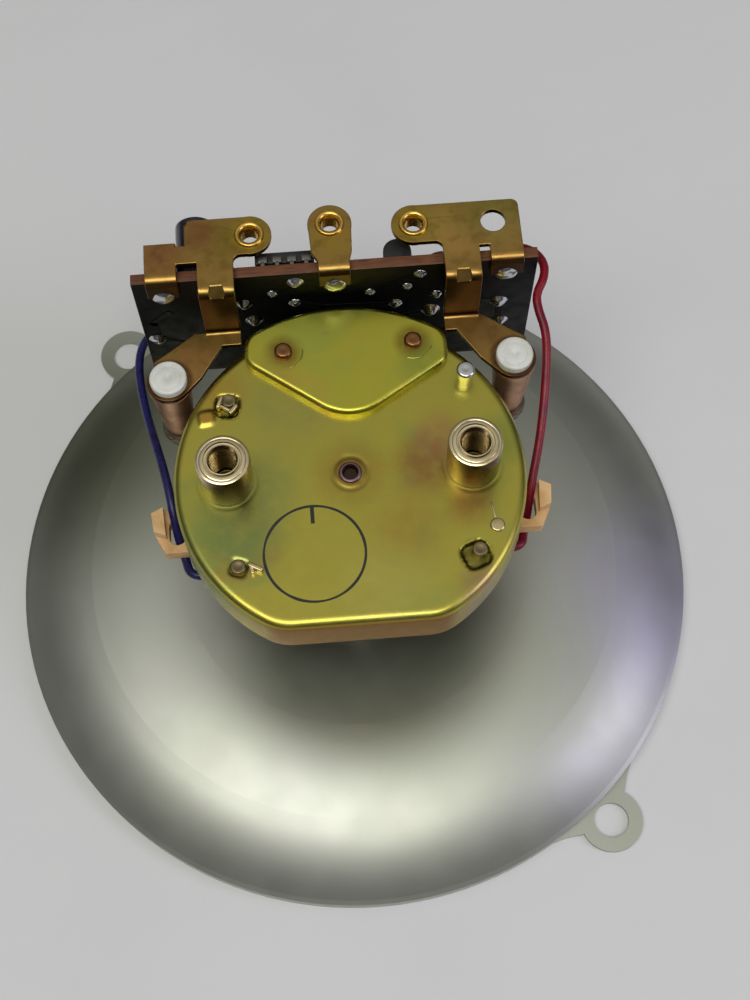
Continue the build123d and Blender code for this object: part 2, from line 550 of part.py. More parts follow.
put("capacitor", lying_can(-18.5, 43.6, 2.7, 36.2))
trim_block = block(-24.0, -21.5, BOARD_BACK_Y, 32.4, 42.6, 46.6)
put("trim_block", fillet(trim_block.edges().filter_by(Axis.Y), 0.4))
chip = block(-10.6, -2.6, BOARD_BACK_Y, 29.6, 40.2, 47.0)
put("driver_chip", chamfer(chip.edges().filter_by(Axis.X), 0.3))
TRANSISTOR_R = 1.9
TRANSISTOR_Z = (40.8, 45.4)
transistor = rod(8.5, BOARD_BACK_Y + TRANSISTOR_R, *TRANSISTOR_Z, TRANSISTOR_R)
flat_back = (BOARD_BACK_Y, BOARD_BACK_Y + TRANSISTOR_R)
transistor += block(8.5 - TRANSISTOR_R, 8.5 + TRANSISTOR_R, *flat_back, *TRANSISTOR_Z)
put("transistor", transistor)
resistors = []
for x, z in ((-14.0, 33.0), (-8.0, 33.0), (2.0, 36.0), (13.5, 33.0)):
    body = Pos(x, BOARD_BACK_Y + 1.2, z) * Cylinder(1.1, 6.2)
    resistors.append(fillet(body.edges(), 0.5))
put("resistors", *resistors)
put("film_capacitor", fillet(block(12.6, 18.6, BOARD_BACK_Y, 31.2, 36.6, 42.6).edges(), 0.5))

# ---------------------------------------------------------------- posts and caps
for name, side in (("left", -1), ("right", 1)):
    x, y = side * POST_XY[0], POST_XY[1]
    length = ARM_Z - MID_TOP_Z
    post = Pos(x, y, MID_TOP_Z + length / 2) * Cone(POST_FOOT_R, POST_TOP_R, length)
    put("spacer_post_" + name, post - rod(x, y, ARM_Z - 5, ARM_Z + 1, POST_HOLE_R))
    cap = fillet(rod(x, y, ARM_TOP_Z, ARM_TOP_Z + 1.2, POST_CAP_R).edges().sort_by(Axis.Z)[-1], 0.25)
    put("post_cap_" + name, cap + rod(x, y, ARM_Z - 4, ARM_TOP_Z, POST_HOLE_R))

# ---------------------------------------------------------------- leads
red_route = [(22.4, BOARD_BACK_Y, 42.0), (22.4, 29.8, 42.0), (24.6, 30.8, 41.8), (27.2, 29.3, 42.6)]
red_route += [(28.3, 26.9, 43.2), (28.0, 24.6, 43.2), (26.7, 22.5, 42.8), (26.7, 20.6, 42.3)]
red_route += [(27.6, 17.4, 41.3), (27.3, 13.4, 39.8), (26.6, 8.8, 37.8), (25.7, 4.4, 35.6)]
red_route += [(24.6, 0.6, 33.6), (23.8, -2.4, 31.8), (23.5, -4.0, 29.7), (22.9, -6.0, 28.2)]
red_route += [(22.4, -8.3, 28.9), (SHELF_FACE_X, -8.3, 28.9)]
blue_route = [(-23.0, BOARD_BACK_Y, 27.0), (-23.0, 29.8, 27.0), (-25.8, 30.4, 26.8), (-28.0, 28.2, 27.1)]
blue_route += [(-28.7, 25.0, 27.7), (-28.5, 20.8, 28.4), (-27.6, 15.8, 29.8), (-26.4, 10.8, 31.4)]
blue_route += [(-25.2, 6.2, 32.9), (-24.3, 2.0, 33.4), (-23.8, -1.6, 32.4), (-23.5, -4.0, 29.7)]
blue_route += [(-22.9, -6.0, 28.2), (-22.2, -9.0, 28.9), (-SHELF_FACE_X, -9.0, 28.9)]
put("lead_red", lead(red_route))
put("lead_blue", lead(blue_route))

# ---------------------------------------------------------------- output
os.makedirs("parts", exist_ok=True)
for name, shape in parts.items():
    shape.label = name
    export_step(shape, "parts/" + name + ".step")
print(len(parts), "nodes")
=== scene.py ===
from math import atan2, cos, degrees, exp, hypot, pi, radians, sin, sqrt

import bmesh
import bpy
from mathutils import Matrix, Vector, noise
from mathutils.bvhtree import BVHTree


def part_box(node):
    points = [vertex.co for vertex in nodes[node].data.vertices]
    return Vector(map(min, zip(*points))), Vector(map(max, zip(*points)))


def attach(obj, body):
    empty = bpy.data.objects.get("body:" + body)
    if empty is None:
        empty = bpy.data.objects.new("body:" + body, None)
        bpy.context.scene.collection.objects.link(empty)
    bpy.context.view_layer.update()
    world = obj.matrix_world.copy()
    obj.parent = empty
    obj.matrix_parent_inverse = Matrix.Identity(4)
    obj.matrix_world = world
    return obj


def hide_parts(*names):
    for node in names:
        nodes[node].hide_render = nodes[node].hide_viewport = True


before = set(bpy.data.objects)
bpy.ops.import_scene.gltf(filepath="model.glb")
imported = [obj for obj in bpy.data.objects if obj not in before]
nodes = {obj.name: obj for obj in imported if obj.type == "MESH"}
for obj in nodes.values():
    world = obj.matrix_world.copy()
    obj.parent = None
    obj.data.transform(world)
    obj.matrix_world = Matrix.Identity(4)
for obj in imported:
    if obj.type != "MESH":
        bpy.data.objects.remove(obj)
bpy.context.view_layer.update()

# Electric dial movement, lying on its dial. Helpers take millimetres; MM turns them into metres.
MM = 0.001


def box_mm(node):
    """A node's lowest and highest corners, in millimetres."""
    low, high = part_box(node)
    return Vector(low) / MM, Vector(high) / MM


# ---- places and sizes from the frame
cover_low, cover_high = box_mm("rear_cover")
COVER_TOP = cover_high.z
COVER_R = cover_high.x
COVER_CHORD_Y = cover_low.y
COVER_FOOT = cover_low.z
SHEET = 0.8
board_low, board_high = box_mm("circuit_board")
strap_top = box_mm("terminal_left")[1].z
standoff_low, standoff_high = box_mm("standoffs")
STANDOFF_R = (standoff_high.y - standoff_low.y) / 2
STANDOFF_X = standoff_high.x - STANDOFF_R


def centre_of(node):
    """Middle of a node's box seen from above."""
    low, high = box_mm(node)
    return (low.x + high.x) / 2, (low.y + high.y) / 2


# ---- material helpers
def srgb(red, green, blue):
    """Display colour from 0 to 255 as a linear colour."""
    def linear(value):
        value /= 255
        return value / 12.92 if value <= 0.04045 else ((value + 0.055) / 1.055) ** 2.4
    return (linear(red), linear(green), linear(blue), 1.0)


# Places of the Mix node's colour sockets.
MIX_FACTOR = 0
MIX_UNDER = 6
MIX_OVER = 7
MIX_COLOUR = 2


class Shade:
    """One procedural material, built node by node around its own shader."""

    def __init__(self, name, colour, **sockets):
        self.material = bpy.data.materials.new(name)
        self.material.use_nodes = True
        self.tree = self.material.node_tree
        self.shader = self.tree.nodes["Principled BSDF"]
        self.shader.inputs["Base Color"].default_value = colour
        for socket, value in sockets.items():
            self.shader.inputs[socket.replace("_", " ")].default_value = value
        self.place = self.tree.nodes.new("ShaderNodeTexCoord").outputs["Object"]
        self.colour = None
        self.heights = []

    def feed(self, node, socket, value):
        """Link a socket, or set it to a plain value."""
        if isinstance(value, bpy.types.NodeSocket):
            self.tree.links.new(value, node.inputs[socket])
        else:
            node.inputs[socket].default_value = value

    def stretched(self, scale):
        """The object's own coordinates, scaled along each axis."""
        node = self.tree.nodes.new("ShaderNodeMapping")
        self.feed(node, "Vector", self.place)
        node.inputs["Scale"].default_value = scale
        return node.outputs["Vector"]

    def noise(self, size_mm, detail=3.0, roughness=0.55, stretch=(1, 1, 1), distortion=0.0):
        """Cloudy pattern whose features are about size_mm across."""
        node = self.tree.nodes.new("ShaderNodeTexNoise")
        self.feed(node, "Vector", self.stretched(stretch))
        node.inputs["Scale"].default_value = 1 / (size_mm * MM)
        node.inputs["Detail"].default_value = detail
        node.inputs["Roughness"].default_value = roughness
        node.inputs["Distortion"].default_value = distortion
        return node.outputs["Fac"]

    def spread(self, fac, low, high, to_low=0.0, to_high=1.0):
        """Map a factor's range onto another, clamped."""
        node = self.tree.nodes.new("ShaderNodeMapRange")
        node.interpolation_type = "SMOOTHSTEP"
        self.feed(node, "Value", fac)
        limits = {"From Min": low, "From Max": high, "To Min": to_low, "To Max": to_high}
        for socket, value in limits.items():
            node.inputs[socket].default_value = value
        return node.outputs["Result"]

    def near(self, x, y, inner_mm, outer_mm):
        """One inside inner_mm of a place seen from above and nought outside outer_mm."""
        flat = self.tree.nodes.new("ShaderNodeVectorMath")
        flat.operation = "MULTIPLY"
        self.feed(flat, 0, self.place)
        flat.inputs[1].default_value = (1, 1, 0)
        node = self.tree.nodes.new("ShaderNodeVectorMath")
        node.operation = "DISTANCE"
        self.feed(node, 0, flat.outputs["Vector"])
        node.inputs[1].default_value = (x * MM, y * MM, 0)
        return self.spread(node.outputs["Value"], inner_mm * MM, outer_mm * MM, 1.0, 0.0)

    def facing(self, way, low, high):
        """One on faces that look the given way, nought on faces turned from it."""
        node = self.tree.nodes.new("ShaderNodeVectorMath")
        node.operation = "DOT_PRODUCT"
        self.feed(node, 0, self.tree.nodes.new("ShaderNodeNewGeometry").outputs["Normal"])
        node.inputs[1].default_value = way
        return self.spread(node.outputs["Value"], low, high)

    def times(self, first, second):
        """Product of two factors."""
        node = self.tree.nodes.new("ShaderNodeMath")
        node.operation = "MULTIPLY"
        self.feed(node, 0, first)
        self.feed(node, 1, second)
        return node.outputs["Value"]

    def paint(self, fac, colour):
        """Lay a colour over what is there, by a factor."""
        node = self.tree.nodes.new("ShaderNodeMix")
        node.data_type = "RGBA"
        self.feed(node, MIX_FACTOR, fac)
        self.feed(node, MIX_UNDER, self.colour or self.shader.inputs["Base Color"].default_value[:])
        self.feed(node, MIX_OVER, colour)
        self.colour = node.outputs[MIX_COLOUR]

    def cloud(self, colour, low, high, strength, *size, **pattern):
        """Lay a colour in patches, where a noise passes from low to high."""
        self.paint(self.spread(self.noise(*size, **pattern), low, high, 0, strength), colour)

    def spot(self, colour, x, y, inner, outer, *strengths):
        """Lay a round spot of colour that fades out between two radii; used for stains, painted shade and
        painted reflection.
        """
        fac = self.near(x, y, inner, outer)
        for strength in strengths:
            fac = self.times(fac, strength)
        self.paint(fac, colour)

    def rough(self, low, high, *size, **pattern):
        """Roughness that drifts between two values with a noise."""
        fac = self.noise(*size, **pattern)
        self.feed(self.shader, "Roughness", self.spread(fac, 0.25, 0.75, low, high))

    def bump(self, depth_mm, *size, **pattern):
        """Surface relief from a noise."""
        self.heights.append((self.noise(*size, **pattern), depth_mm))

    def done(self):
        """Link what was laid and return the material."""
        if self.colour:
            self.feed(self.shader, "Base Color", self.colour)
        normal = None
        for fac, depth_mm in self.heights:
            node = self.tree.nodes.new("ShaderNodeBump")
            node.inputs["Distance"].default_value = depth_mm * MM
            self.feed(node, "Height", fac)
            if normal:
                self.feed(node, "Normal", normal)
            normal = node.outputs["Normal"]
        if normal:
            self.feed(self.shader, "Normal", normal)
        return self.material


# ---- materials
def satin_aluminium():
    """Dial sheet: fine blasted grain, slightly tinted anodising, and on its back painted shade under the
    movement and at the upper left and a painted lavender reflection at the right rim.
    """
    s = Shade("satin_aluminium", srgb(176, 177, 168), Metallic=1.0, Roughness=0.42)
    s.cloud(srgb(172, 175, 158), 0.35, 0.7, 0.6, 34, 2)
    s.cloud(srgb(188, 188, 182), 0.55, 0.8, 0.25, 0.6, 3)
    back = s.facing((0, 0, 1), 0.0, 0.2)
    # Painted shade: darker where the movement stands over the dial's back.
    s.spot(srgb(84, 86, 66), 1, -13, 11, 25, 0.7, back)
    # Painted shade: darker towards the upper left.
    s.spot(srgb(98, 101, 76), -40, 24, 4, 30, 0.8, back)
    # Painted reflection: lavender light near the right rim.
    s.spot(srgb(196, 190, 216), 44, -8, 3, 22, 0.5, back)
    s.rough(0.41, 0.45, 6, 4, 0.5)
    s.bump(0.0012, 0.3, 2)
    return s.done()


def yellow_zinc(name, base, cool, warm, violet, marks):
    """Unfinished yellow passivated zinc: uneven iridescent tints over rolled steel."""
    s = Shade(name, base, Metallic=1.0, Roughness=0.3)
    s.cloud(cool, 0.48, 0.66, 0.75, 14, 3, 0.5, distortion=0.6)
    s.cloud(warm, 0.56, 0.74, 0.7, 10, 4, 0.6, distortion=0.8)
    s.cloud(violet, 0.62, 0.8, 0.45, 7, 5, 0.6, distortion=1.0)
    # Round spots from each finish's table: stains, and some painted shade.
    for x, y, inner, outer, strength, colour in marks:
        patchy = s.spread(s.noise(3.0, 4, 0.6), 0.25, 0.6, 0.45, 1.0)
        s.spot(colour, x, y, inner, outer, patchy, strength)
    s.cloud(srgb(200, 190, 120), 0.62, 0.85, 0.3, 0.7, 4, 0.7)
    s.rough(0.27, 0.36, 1.6, 5, 0.6)
    s.bump(0.002, 2.5, 2, stretch=(1, 6, 1))
    s.bump(0.0008, 0.5, 2)
    return s


def cover_zinc():
    """Rear cover: olive gold, green at the lower left, brown-red at the right post and the bearing, painted
    shade in two lug recesses and in the bearing's bore, and painted orange-brown shade on the flat side that
    faces −Y.
    """
    marks = [
        (-15.0, -8.0, 2.0, 9.0, 0.75, srgb(124, 142, 84)),
        (-12.0, -1.0, 1.0, 8.0, 0.6, srgb(132, 146, 92)),
        (-8.0, 10.0, 2.0, 10.0, 0.4, srgb(156, 154, 92)),
        (10.0, 0.5, 1.0, 6.0, 0.75, srgb(150, 96, 62)),
        (12.0, 4.5, 0.5, 5.0, 0.55, srgb(176, 108, 92)),
        (15.5, -17.0, 1.0, 4.5, 0.6, srgb(150, 116, 100)),
        (15.0, -5.5, 0.5, 4.6, 0.55, srgb(150, 82, 56)),
        (7.0, -7.5, 1.0, 8.0, 0.5, srgb(172, 136, 66)),
        (0.0, 0.0, 1.3, 3.2, 0.85, srgb(96, 54, 28)),
        (-18.4, 9.3, 0.5, 1.5, 0.7, srgb(190, 134, 62)),
        (0.0, 0.0, 2.5, 6.5, 0.4, srgb(154, 116, 56)),
        (-17.0, 13.0, 1.0, 6.0, 0.5, srgb(180, 132, 58)),
        (19.5, 3.0, 0.5, 5.0, 0.5, srgb(140, 142, 62)),
        (4.0, -16.5, 2.0, 9.0, 0.35, srgb(186, 180, 104)),
        # Painted shade in the two lug recesses round the stakes.
        (15.2, -12.6, 1.5, 2.6, 0.8, srgb(74, 68, 34)),
        (-15.6, 10.9, 1.5, 2.2, 0.9, srgb(58, 72, 34)),
        # Painted shade: near black in the bearing's bore.
        (0.0, 0.0, 0.7, 1.1, 1.0, srgb(12, 8, 8)),
    ]
    s = yellow_zinc("cover_zinc", srgb(182, 172, 76), srgb(160, 164, 84), srgb(190, 150, 76),
                    srgb(172, 126, 100), marks)
    # Painted shade: orange-brown on the flat side wall that faces −Y.
    s.paint(s.times(s.facing((0, -1, 0), 0.75, 0.98), 0.8), srgb(150, 88, 34))
    return s.done()


def plate_zinc():
    """Bridge plate: the same finish, with painted shade round its two rivet heads."""
    marks = [
        # Painted shade round the two rivet heads.
        (-7.7, 17.6, 1.2, 3.2, 0.75, srgb(120, 78, 40)),
        (9.7, 17.9, 1.2, 3.2, 0.75, srgb(120, 78, 40)),
        (11.0, 14.5, 1.0, 5.0, 0.5, srgb(128, 148, 70)),
        (-9.5, 14.0, 1.0, 5.0, 0.35, srgb(186, 150, 70)),
    ]
    return yellow_zinc("plate_zinc", srgb(190, 184, 70), srgb(172, 178, 80), srgb(200, 172, 82),
                       srgb(150, 120, 92), marks).done()


def strap_zinc():
    """Terminals: bronze passivation, brown and olive on top, painted shade that makes the strips nearly black
    on faces turned to −Y and down, and painted shade round the two posts.
    """
    marks = [
        (-14.5, 30.5, 1.0, 5.0, 0.55, srgb(130, 116, 42)),
        (14.5, 30.5, 1.0, 5.0, 0.6, srgb(190, 160, 78)),
        (-22.5, 29.0, 1.0, 4.5, 0.7, srgb(142, 90, 62)),
        (-17.5, 32.0, 1.0, 3.5, 0.7, srgb(136, 90, 60)),
        (22.5, 30.0, 1.0, 4.5, 0.6, srgb(170, 150, 84)),
        (16.5, 28.0, 1.0, 4.0, 0.6, srgb(196, 150, 86)),
        (-11.0, 31.3, 2.0, 3.4, 0.8, srgb(168, 144, 52)),
        (10.8, 31.3, 2.0, 3.4, 0.8, srgb(168, 144, 52)),
        (-0.3, 30.0, 1.5, 4.6, 0.8, srgb(176, 144, 62)),
        (-20.5, 18.5, 1.0, 6.0, 0.6, srgb(150, 104, 66)),
        (20.5, 18.5, 1.0, 6.0, 0.6, srgb(128, 96, 58)),
        # Painted shade: dark rings round the two posts where they meet the straps.
        (-23.3, 15.6, 2.9, 3.6, 0.9, srgb(70, 42, 28)),
        (23.3, 15.6, 2.9, 3.6, 0.9, srgb(84, 52, 36)),
    ]
    s = yellow_zinc("strap_zinc", srgb(168, 134, 72), srgb(144, 132, 62), srgb(160, 108, 66),
                    srgb(150, 108, 88), marks)
    s.cloud(srgb(104, 72, 36), 0.45, 0.7, 0.35, 2.0, 4, 0.6)
    # Painted shade: nearly black on faces turned to −Y, and dark on faces turned down and to −Y.
    s.paint(s.times(s.facing((0, -1, 0), 0.55, 0.95), 0.93), srgb(44, 22, 10))
    s.spot(srgb(60, 34, 16), 0, 25.0, 0.1, 26.0, s.facing((0, -0.7, -0.7), 0.6, 0.95))
    return s.done()


def turned_metal(name, colour, tint, rough_low, rough_high, flank_shade=None):
    """Lathe-turned bar with fine rings, slight colour drift and perhaps painted shade on the side that faces
    −Y.
    """
    s = Shade(name, colour, Metallic=1.0, Roughness=0.25)
    s.cloud(tint, 0.45, 0.7, 0.7, 3.5, 3)
    s.cloud(srgb(235, 225, 200), 0.6, 0.85, 0.35, 0.8, 4)
    if flank_shade:
        # Painted shade on the side that faces −Y.
        s.paint(s.times(s.facing((0.15, -0.98, 0), 0.35, 0.9), 0.95), flank_shade)
    s.rough(rough_low, rough_high, 0.7, 4, stretch=(1, 1, 6))
    s.bump(0.003, 0.5, 2, stretch=(0.6, 0.6, 10))
    return s.done()


def surface(name, colour, clouds, rough, bumps, **sockets):
    """Material from rows of noise: stains, each with its colour, a roughness range, and relief depths."""
    s = Shade(name, colour, **sockets)
    for row in clouds:
        s.cloud(*row)
    s.rough(*rough)
    for row in bumps:
        s.bump(*row)
    return s.done()


def plated_steel(name, colour, stain):
    """Zinc plated or plain sheet steel with spangle, rub marks and dull areas."""
    clouds = [(stain, 0.5, 0.75, 0.7, 6, 4), (srgb(214, 214, 206), 0.6, 0.85, 0.4, 1.1, 5, 0.7)]
    bumps = [(0.004, 0.9, 3, 0.55, (1, 9, 1)), (0.002, 0.25, 2)]
    return surface(name, colour, clouds, (0.28, 0.46, 2.2, 5, 0.6), bumps, Metallic=1.0, Roughness=0.35)


def brass(name, colour, stain):
    """Machined brass with a little tarnish in patches."""
    return surface(name, colour, [(stain, 0.5, 0.8, 0.8, 2.4, 4)], (0.2, 0.34, 0.9, 5),
                   [(0.003, 0.35, 3, 0.55, (1, 1, 5))], Metallic=1.0, Roughness=0.26)


def moulded(name, colour, shadow, shine_low, shine_high, texture_mm=0.5, depth=0.008, **sockets):
    """Injection-moulded plastic: faint flow marks and a fine pebbled skin."""
    return surface(name, colour, [(shadow, 0.42, 0.72, 0.8, 4.5, 4, 0.55, (1, 1, 1), 0.5)],
                   (shine_low, shine_high, 1.4, 4), [(depth, texture_mm, 3)], **sockets)


def insulation(name, colour, dark):
    """Smooth extruded PVC lead with slight scuffs."""
    return surface(name, colour, [(dark, 0.4, 0.7, 0.8, 2.2, 3)], (0.24, 0.42, 0.7, 4),
                   [(0.008, 0.5, 3)], Roughness=0.35, Specular_IOR_Level=0.35)


def matt_paint(name, colour, wear):
    """Matt stoved paint or ink with a fine orange peel."""
    return surface(name, colour, [(wear, 0.5, 0.8, 0.6, 3, 4)], (0.42, 0.6, 0.8, 4), [(0.01, 0.4, 2)],
                   Roughness=0.5)


ALUMINIUM = satin_aluminium()
COVER_ZINC = cover_zinc()
PLATE_ZINC = plate_zinc()
STRAP_ZINC = strap_zinc()
# The last colour is painted shade on the posts' side that faces −Y.
STANDOFF_METAL = turned_metal("standoff_metal", srgb(226, 210, 170), srgb(196, 178, 134), 0.16, 0.28,
                              srgb(66, 46, 24))
PALE_TURNED = turned_metal("pale_turned_steel", srgb(214, 196, 150), srgb(190, 170, 120), 0.14, 0.26)
BRIGHT_STEEL = turned_metal("bright_steel", srgb(206, 206, 204), srgb(176, 178, 180), 0.12, 0.26)
FRAME_STEEL = plated_steel("frame_steel", srgb(176, 176, 170), srgb(140, 138, 128))
MOTOR_STEEL = plated_steel("motor_steel", srgb(128, 126, 120), srgb(92, 84, 74))
OLIVE_STAKE = plated_steel("olive_stake", srgb(128, 114, 84), srgb(92, 80, 50))
BEARING_METAL = plated_steel("bearing_metal", srgb(128, 104, 108), srgb(72, 48, 46))
BROWN_STAKE = plated_steel("brown_stake", srgb(134, 94, 60), srgb(92, 58, 34))
DARK_STEEL = plated_steel("dark_steel", srgb(62, 52, 44), srgb(40, 32, 28))
SHADED_STEEL = plated_steel("shaded_steel", srgb(112, 108, 94), srgb(86, 80, 66))
GEAR_BRASS = brass("gear_brass", srgb(202, 166, 92), srgb(164, 122, 60))
EYELET_BRASS = brass("eyelet_brass", srgb(226, 186, 92), srgb(186, 134, 56))
POST_COPPER = turned_metal("post_copper", srgb(206, 160, 128), srgb(160, 114, 86), 0.34, 0.48)
# Copper winding wire under clear red-brown enamel.
WIRE = surface("enamelled_wire", srgb(150, 78, 40),
               [(srgb(196, 112, 62), 0.4, 0.7, 0.7, 1.6, 3, 0.55, (1, 1, 8))], (0.2, 0.34, 0.6, 3), [],
               Metallic=1.0, Roughness=0.25, Coat_Weight=0.6)
# Ferrite magnet: dark grey, ground faces, tiny chips.
FERRITE = surface("sintered_ferrite", srgb(54, 54, 58), [(srgb(82, 80, 82), 0.5, 0.8, 1.0, 0.9, 6, 0.7)],
                  (0.45, 0.7, 0.7, 5), [(0.012, 0.25, 4)], Roughness=0.6)
TAN_RESIN = moulded("tan_resin", srgb(224, 184, 134), srgb(196, 152, 88), 0.38, 0.55,
                    Subsurface_Weight=0.25, Subsurface_Radius=(0.0012, 0.0006, 0.0003))
WHITE_NYLON = moulded("white_nylon", srgb(222, 224, 216), srgb(196, 196, 184), 0.3, 0.48,
                      Subsurface_Weight=0.3, Subsurface_Radius=(0.001, 0.001, 0.0008))
BLACK_PLASTIC = moulded("black_plastic", srgb(26, 26, 28), srgb(44, 42, 42), 0.35, 0.6, 0.3, 0.015)
SLEEVE = moulded("capacitor_sleeve", srgb(24, 26, 40), srgb(34, 20, 40), 0.2, 0.36, 0.8, 0.006,
                 Coat_Weight=0.4)
LACQUER = moulded("resistor_lacquer", srgb(186, 150, 104), srgb(160, 118, 74), 0.22, 0.4, 0.7, 0.01,
                  Coat_Weight=0.4)
BROWN_DIP = moulded("film_capacitor_dip", srgb(110, 60, 34), srgb(80, 40, 24), 0.2, 0.36, 1.2, 0.02,
                     Coat_Weight=0.5)
# Board's solder side: almost black resist with faint ripples.
MASK = surface("solder_mask", srgb(5, 5, 6), [(srgb(12, 11, 9), 0.45, 0.75, 0.8, 5, 3)], (0.3, 0.55, 1.8, 5),
               [(0.01, 0.7, 3)], Roughness=0.4, Specular_IOR_Level=0.15)
# Cut edge and back of the board: brown laminated paper.
PHENOLIC = surface("paper_phenolic", srgb(112, 66, 34),
                   [(srgb(72, 40, 22), 0.4, 0.65, 1.0, 0.5, 4, 0.55, (0.2, 6, 0.2)),
                    (srgb(140, 92, 52), 0.5, 0.8, 0.5, 3, 3)],
                   (0.5, 0.72, 0.8, 4), [(0.02, 0.3, 3, 0.55, (1, 5, 1))], Roughness=0.6)
# Tin-lead solder: mirror bright with dull frosted patches.
SOLDER = surface("bright_solder", srgb(206, 207, 210), [(srgb(136, 136, 140), 0.55, 0.8, 0.6, 0.9, 4)],
                 (0.08, 0.26, 0.6, 5), [(0.02, 0.5, 4)], Metallic=1.0, Roughness=0.15)
RED_PVC = insulation("red_insulation", srgb(124, 4, 24), srgb(86, 8, 34))
BLUE_PVC = insulation("blue_insulation", srgb(34, 34, 92), srgb(20, 18, 54))
ORANGE_PAINT = matt_paint("hand_paint", srgb(226, 92, 28), srgb(206, 74, 22))
# Black print for the scale and numerals, also used as painted shade in the trim screw's slot.
BLACK_PRINT_AND_SLOT_SHADE = matt_paint("scale_ink_and_slot_shade", srgb(22, 22, 24), srgb(40, 40, 42))
STAMP_INK = matt_paint("stamp_ink", srgb(26, 28, 22), srgb(54, 52, 26))


# ---- mesh helpers
def arc(x, z, radius, start_deg, end_deg, count=6):
    """Points along a round stretch of a profile."""
    span = end_deg - start_deg
    angles = [radians(start_deg + span * i / count) for i in range(count + 1)]
    return [(x + radius * cos(a), z + radius * sin(a)) for a in angles]


def at(x, y, z=0.0):
    return Matrix.Translation((x, y, z))


def lathe(bm, profile, place=Matrix(), steps=72, closed=True, material=0):
    """Turn (radius, height) points about the local Z axis."""
    rings = []
    for r, z in profile:
        if abs(r) < 1e-6:
            rings.append([bm.verts.new(place @ Vector((0, 0, z)) * MM)])
            continue
        turn = [2 * pi * i / steps for i in range(steps)]
        rings.append([bm.verts.new(place @ Vector((r * cos(a), r * sin(a), z)) * MM) for a in turn])
    pairs = list(zip(rings, rings[1:]))
    if closed and len(rings) > 2:
        pairs.append((rings[-1], rings[0]))
    for first, second in pairs:
        if len(first) == 1 and len(second) == 1:
            continue
        for i in range(steps):
            j = (i + 1) % steps
            corners = [first[i % len(first)], first[j % len(first)]]
            corners += [second[j % len(second)], second[i % len(second)]]
            face = bm.faces.new(list(dict.fromkeys(corners)))
            face.material_index = material


def band(bm, first, second, material=0):
    """Strip of faces between two rings with the same number of points."""
    for i in range(len(first)):
        j = (i + 1) % len(first)
        bm.faces.new((first[i], first[j], second[j], second[i])).material_index = material


def slab(bm, x0, x1, y0, y1, z0, z1, place=Matrix(), bevel=0.0, material=0):
    """Box between two corners, with rounded edges."""
    made = bmesh.ops.create_cube(bm, size=1.0)["verts"]
    size = Vector((x1 - x0, y1 - y0, z1 - z0))
    centre = Vector((x0 + x1, y0 + y1, z0 + z1)) / 2
    for vert in made:
        local = Vector((vert.co[i] * size[i] for i in range(3))) + centre
        vert.co = place @ local * MM
    faces = {f for v in made for f in v.link_faces}
    for face in faces:
        face.material_index = material
    if bevel:
        edges = list({e for v in made for e in v.link_edges})
        bmesh.ops.bevel(bm, geom=edges, offset=bevel * MM, segments=3, profile=0.5, affect="EDGES",
                        clamp_overlap=True, material=-1)


def tube_along(bm, points, radius, steps=10, material=0):
    """Round wire through points, with flat ends."""
    path = [Vector(p) for p in points]
    rings = []
    side = None
    for i, here in enumerate(path):
        ahead = path[min(i + 1, len(path) - 1)] - path[max(i - 1, 0)]
        ahead.normalize()
        if side is None:
            side = ahead.orthogonal().normalized()
        side = (side - ahead * side.dot(ahead)).normalized()
        up = ahead.cross(side)
        angles = [2 * pi * k / steps for k in range(steps)]
        around = [here + side * radius * cos(a) + up * radius * sin(a) for a in angles]
        rings.append([bm.verts.new(place * MM) for place in around])
    for first, second in zip(rings, rings[1:]):
        band(bm, first, second, material)
    for ring in (rings[0], rings[-1]):
        bm.faces.new(ring).material_index = material


SHARP = radians(38)


def in_scene(name, data):
    """New object with some data, in the scene."""
    made = bpy.data.objects.new(name, data)
    bpy.context.scene.collection.objects.link(made)
    return made


def piece(name, bm, body, materials, replaces=()):
    """Turn a finished bmesh into a piece that rides on a body."""
    bmesh.ops.recalc_face_normals(bm, faces=bm.faces)
    for face in bm.faces:
        face.smooth = True
    for edge in bm.edges:
        if len(edge.link_faces) == 2 and edge.calc_face_angle(0.0) > SHARP:
            edge.smooth = False
    mesh = bpy.data.meshes.new(name)
    bm.to_mesh(mesh)
    bm.free()
    for material in materials:
        mesh.materials.append(material)
    made = in_scene(name, mesh)
    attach(made, body)
    if replaces:
        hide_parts(*replaces)


def spun(name, node, material, profile, places, steps, closed=False):
    """Piece in a node's stead, turned from one profile at one or several places."""
    bm = bmesh.new()
    for x, y in places:
        lathe(bm, profile, at(x, y), steps, closed)
    piece(name, bm, "root", [material], [node])


def keep(node, material, edge_mm=0.0, segments=2):
    """Show a CAD node with a better material and, if asked, softened edges."""
    shown = nodes[node]
    for place in shown.material_slots:
        place.material = material
    if edge_mm:
        weld = shown.modifiers.new("weld", "WELD")
        weld.merge_threshold = 0.000002
        bevel = shown.modifiers.new("edges", "BEVEL")
        bevel.width = edge_mm * MM
        bevel.segments = segments
        bevel.limit_method = "ANGLE"
        bevel.angle_limit = radians(35)
        bevel.use_clamp_overlap = False
        bevel.harden_normals = False
        normals = shown.modifiers.new("normals", "WEIGHTED_NORMAL")
        normals.mode = "FACE_AREA_WITH_ANGLE"
        normals.keep_sharp = True


def smoothstep(low, high, value):
    t = min(1.0, max(0.0, (value - low) / (high - low)))
    return t * t * (3 - 2 * t)


# ---- rear cover
CHORD_CORNER_R = 7.0
COVER_EDGE_R = 1.2
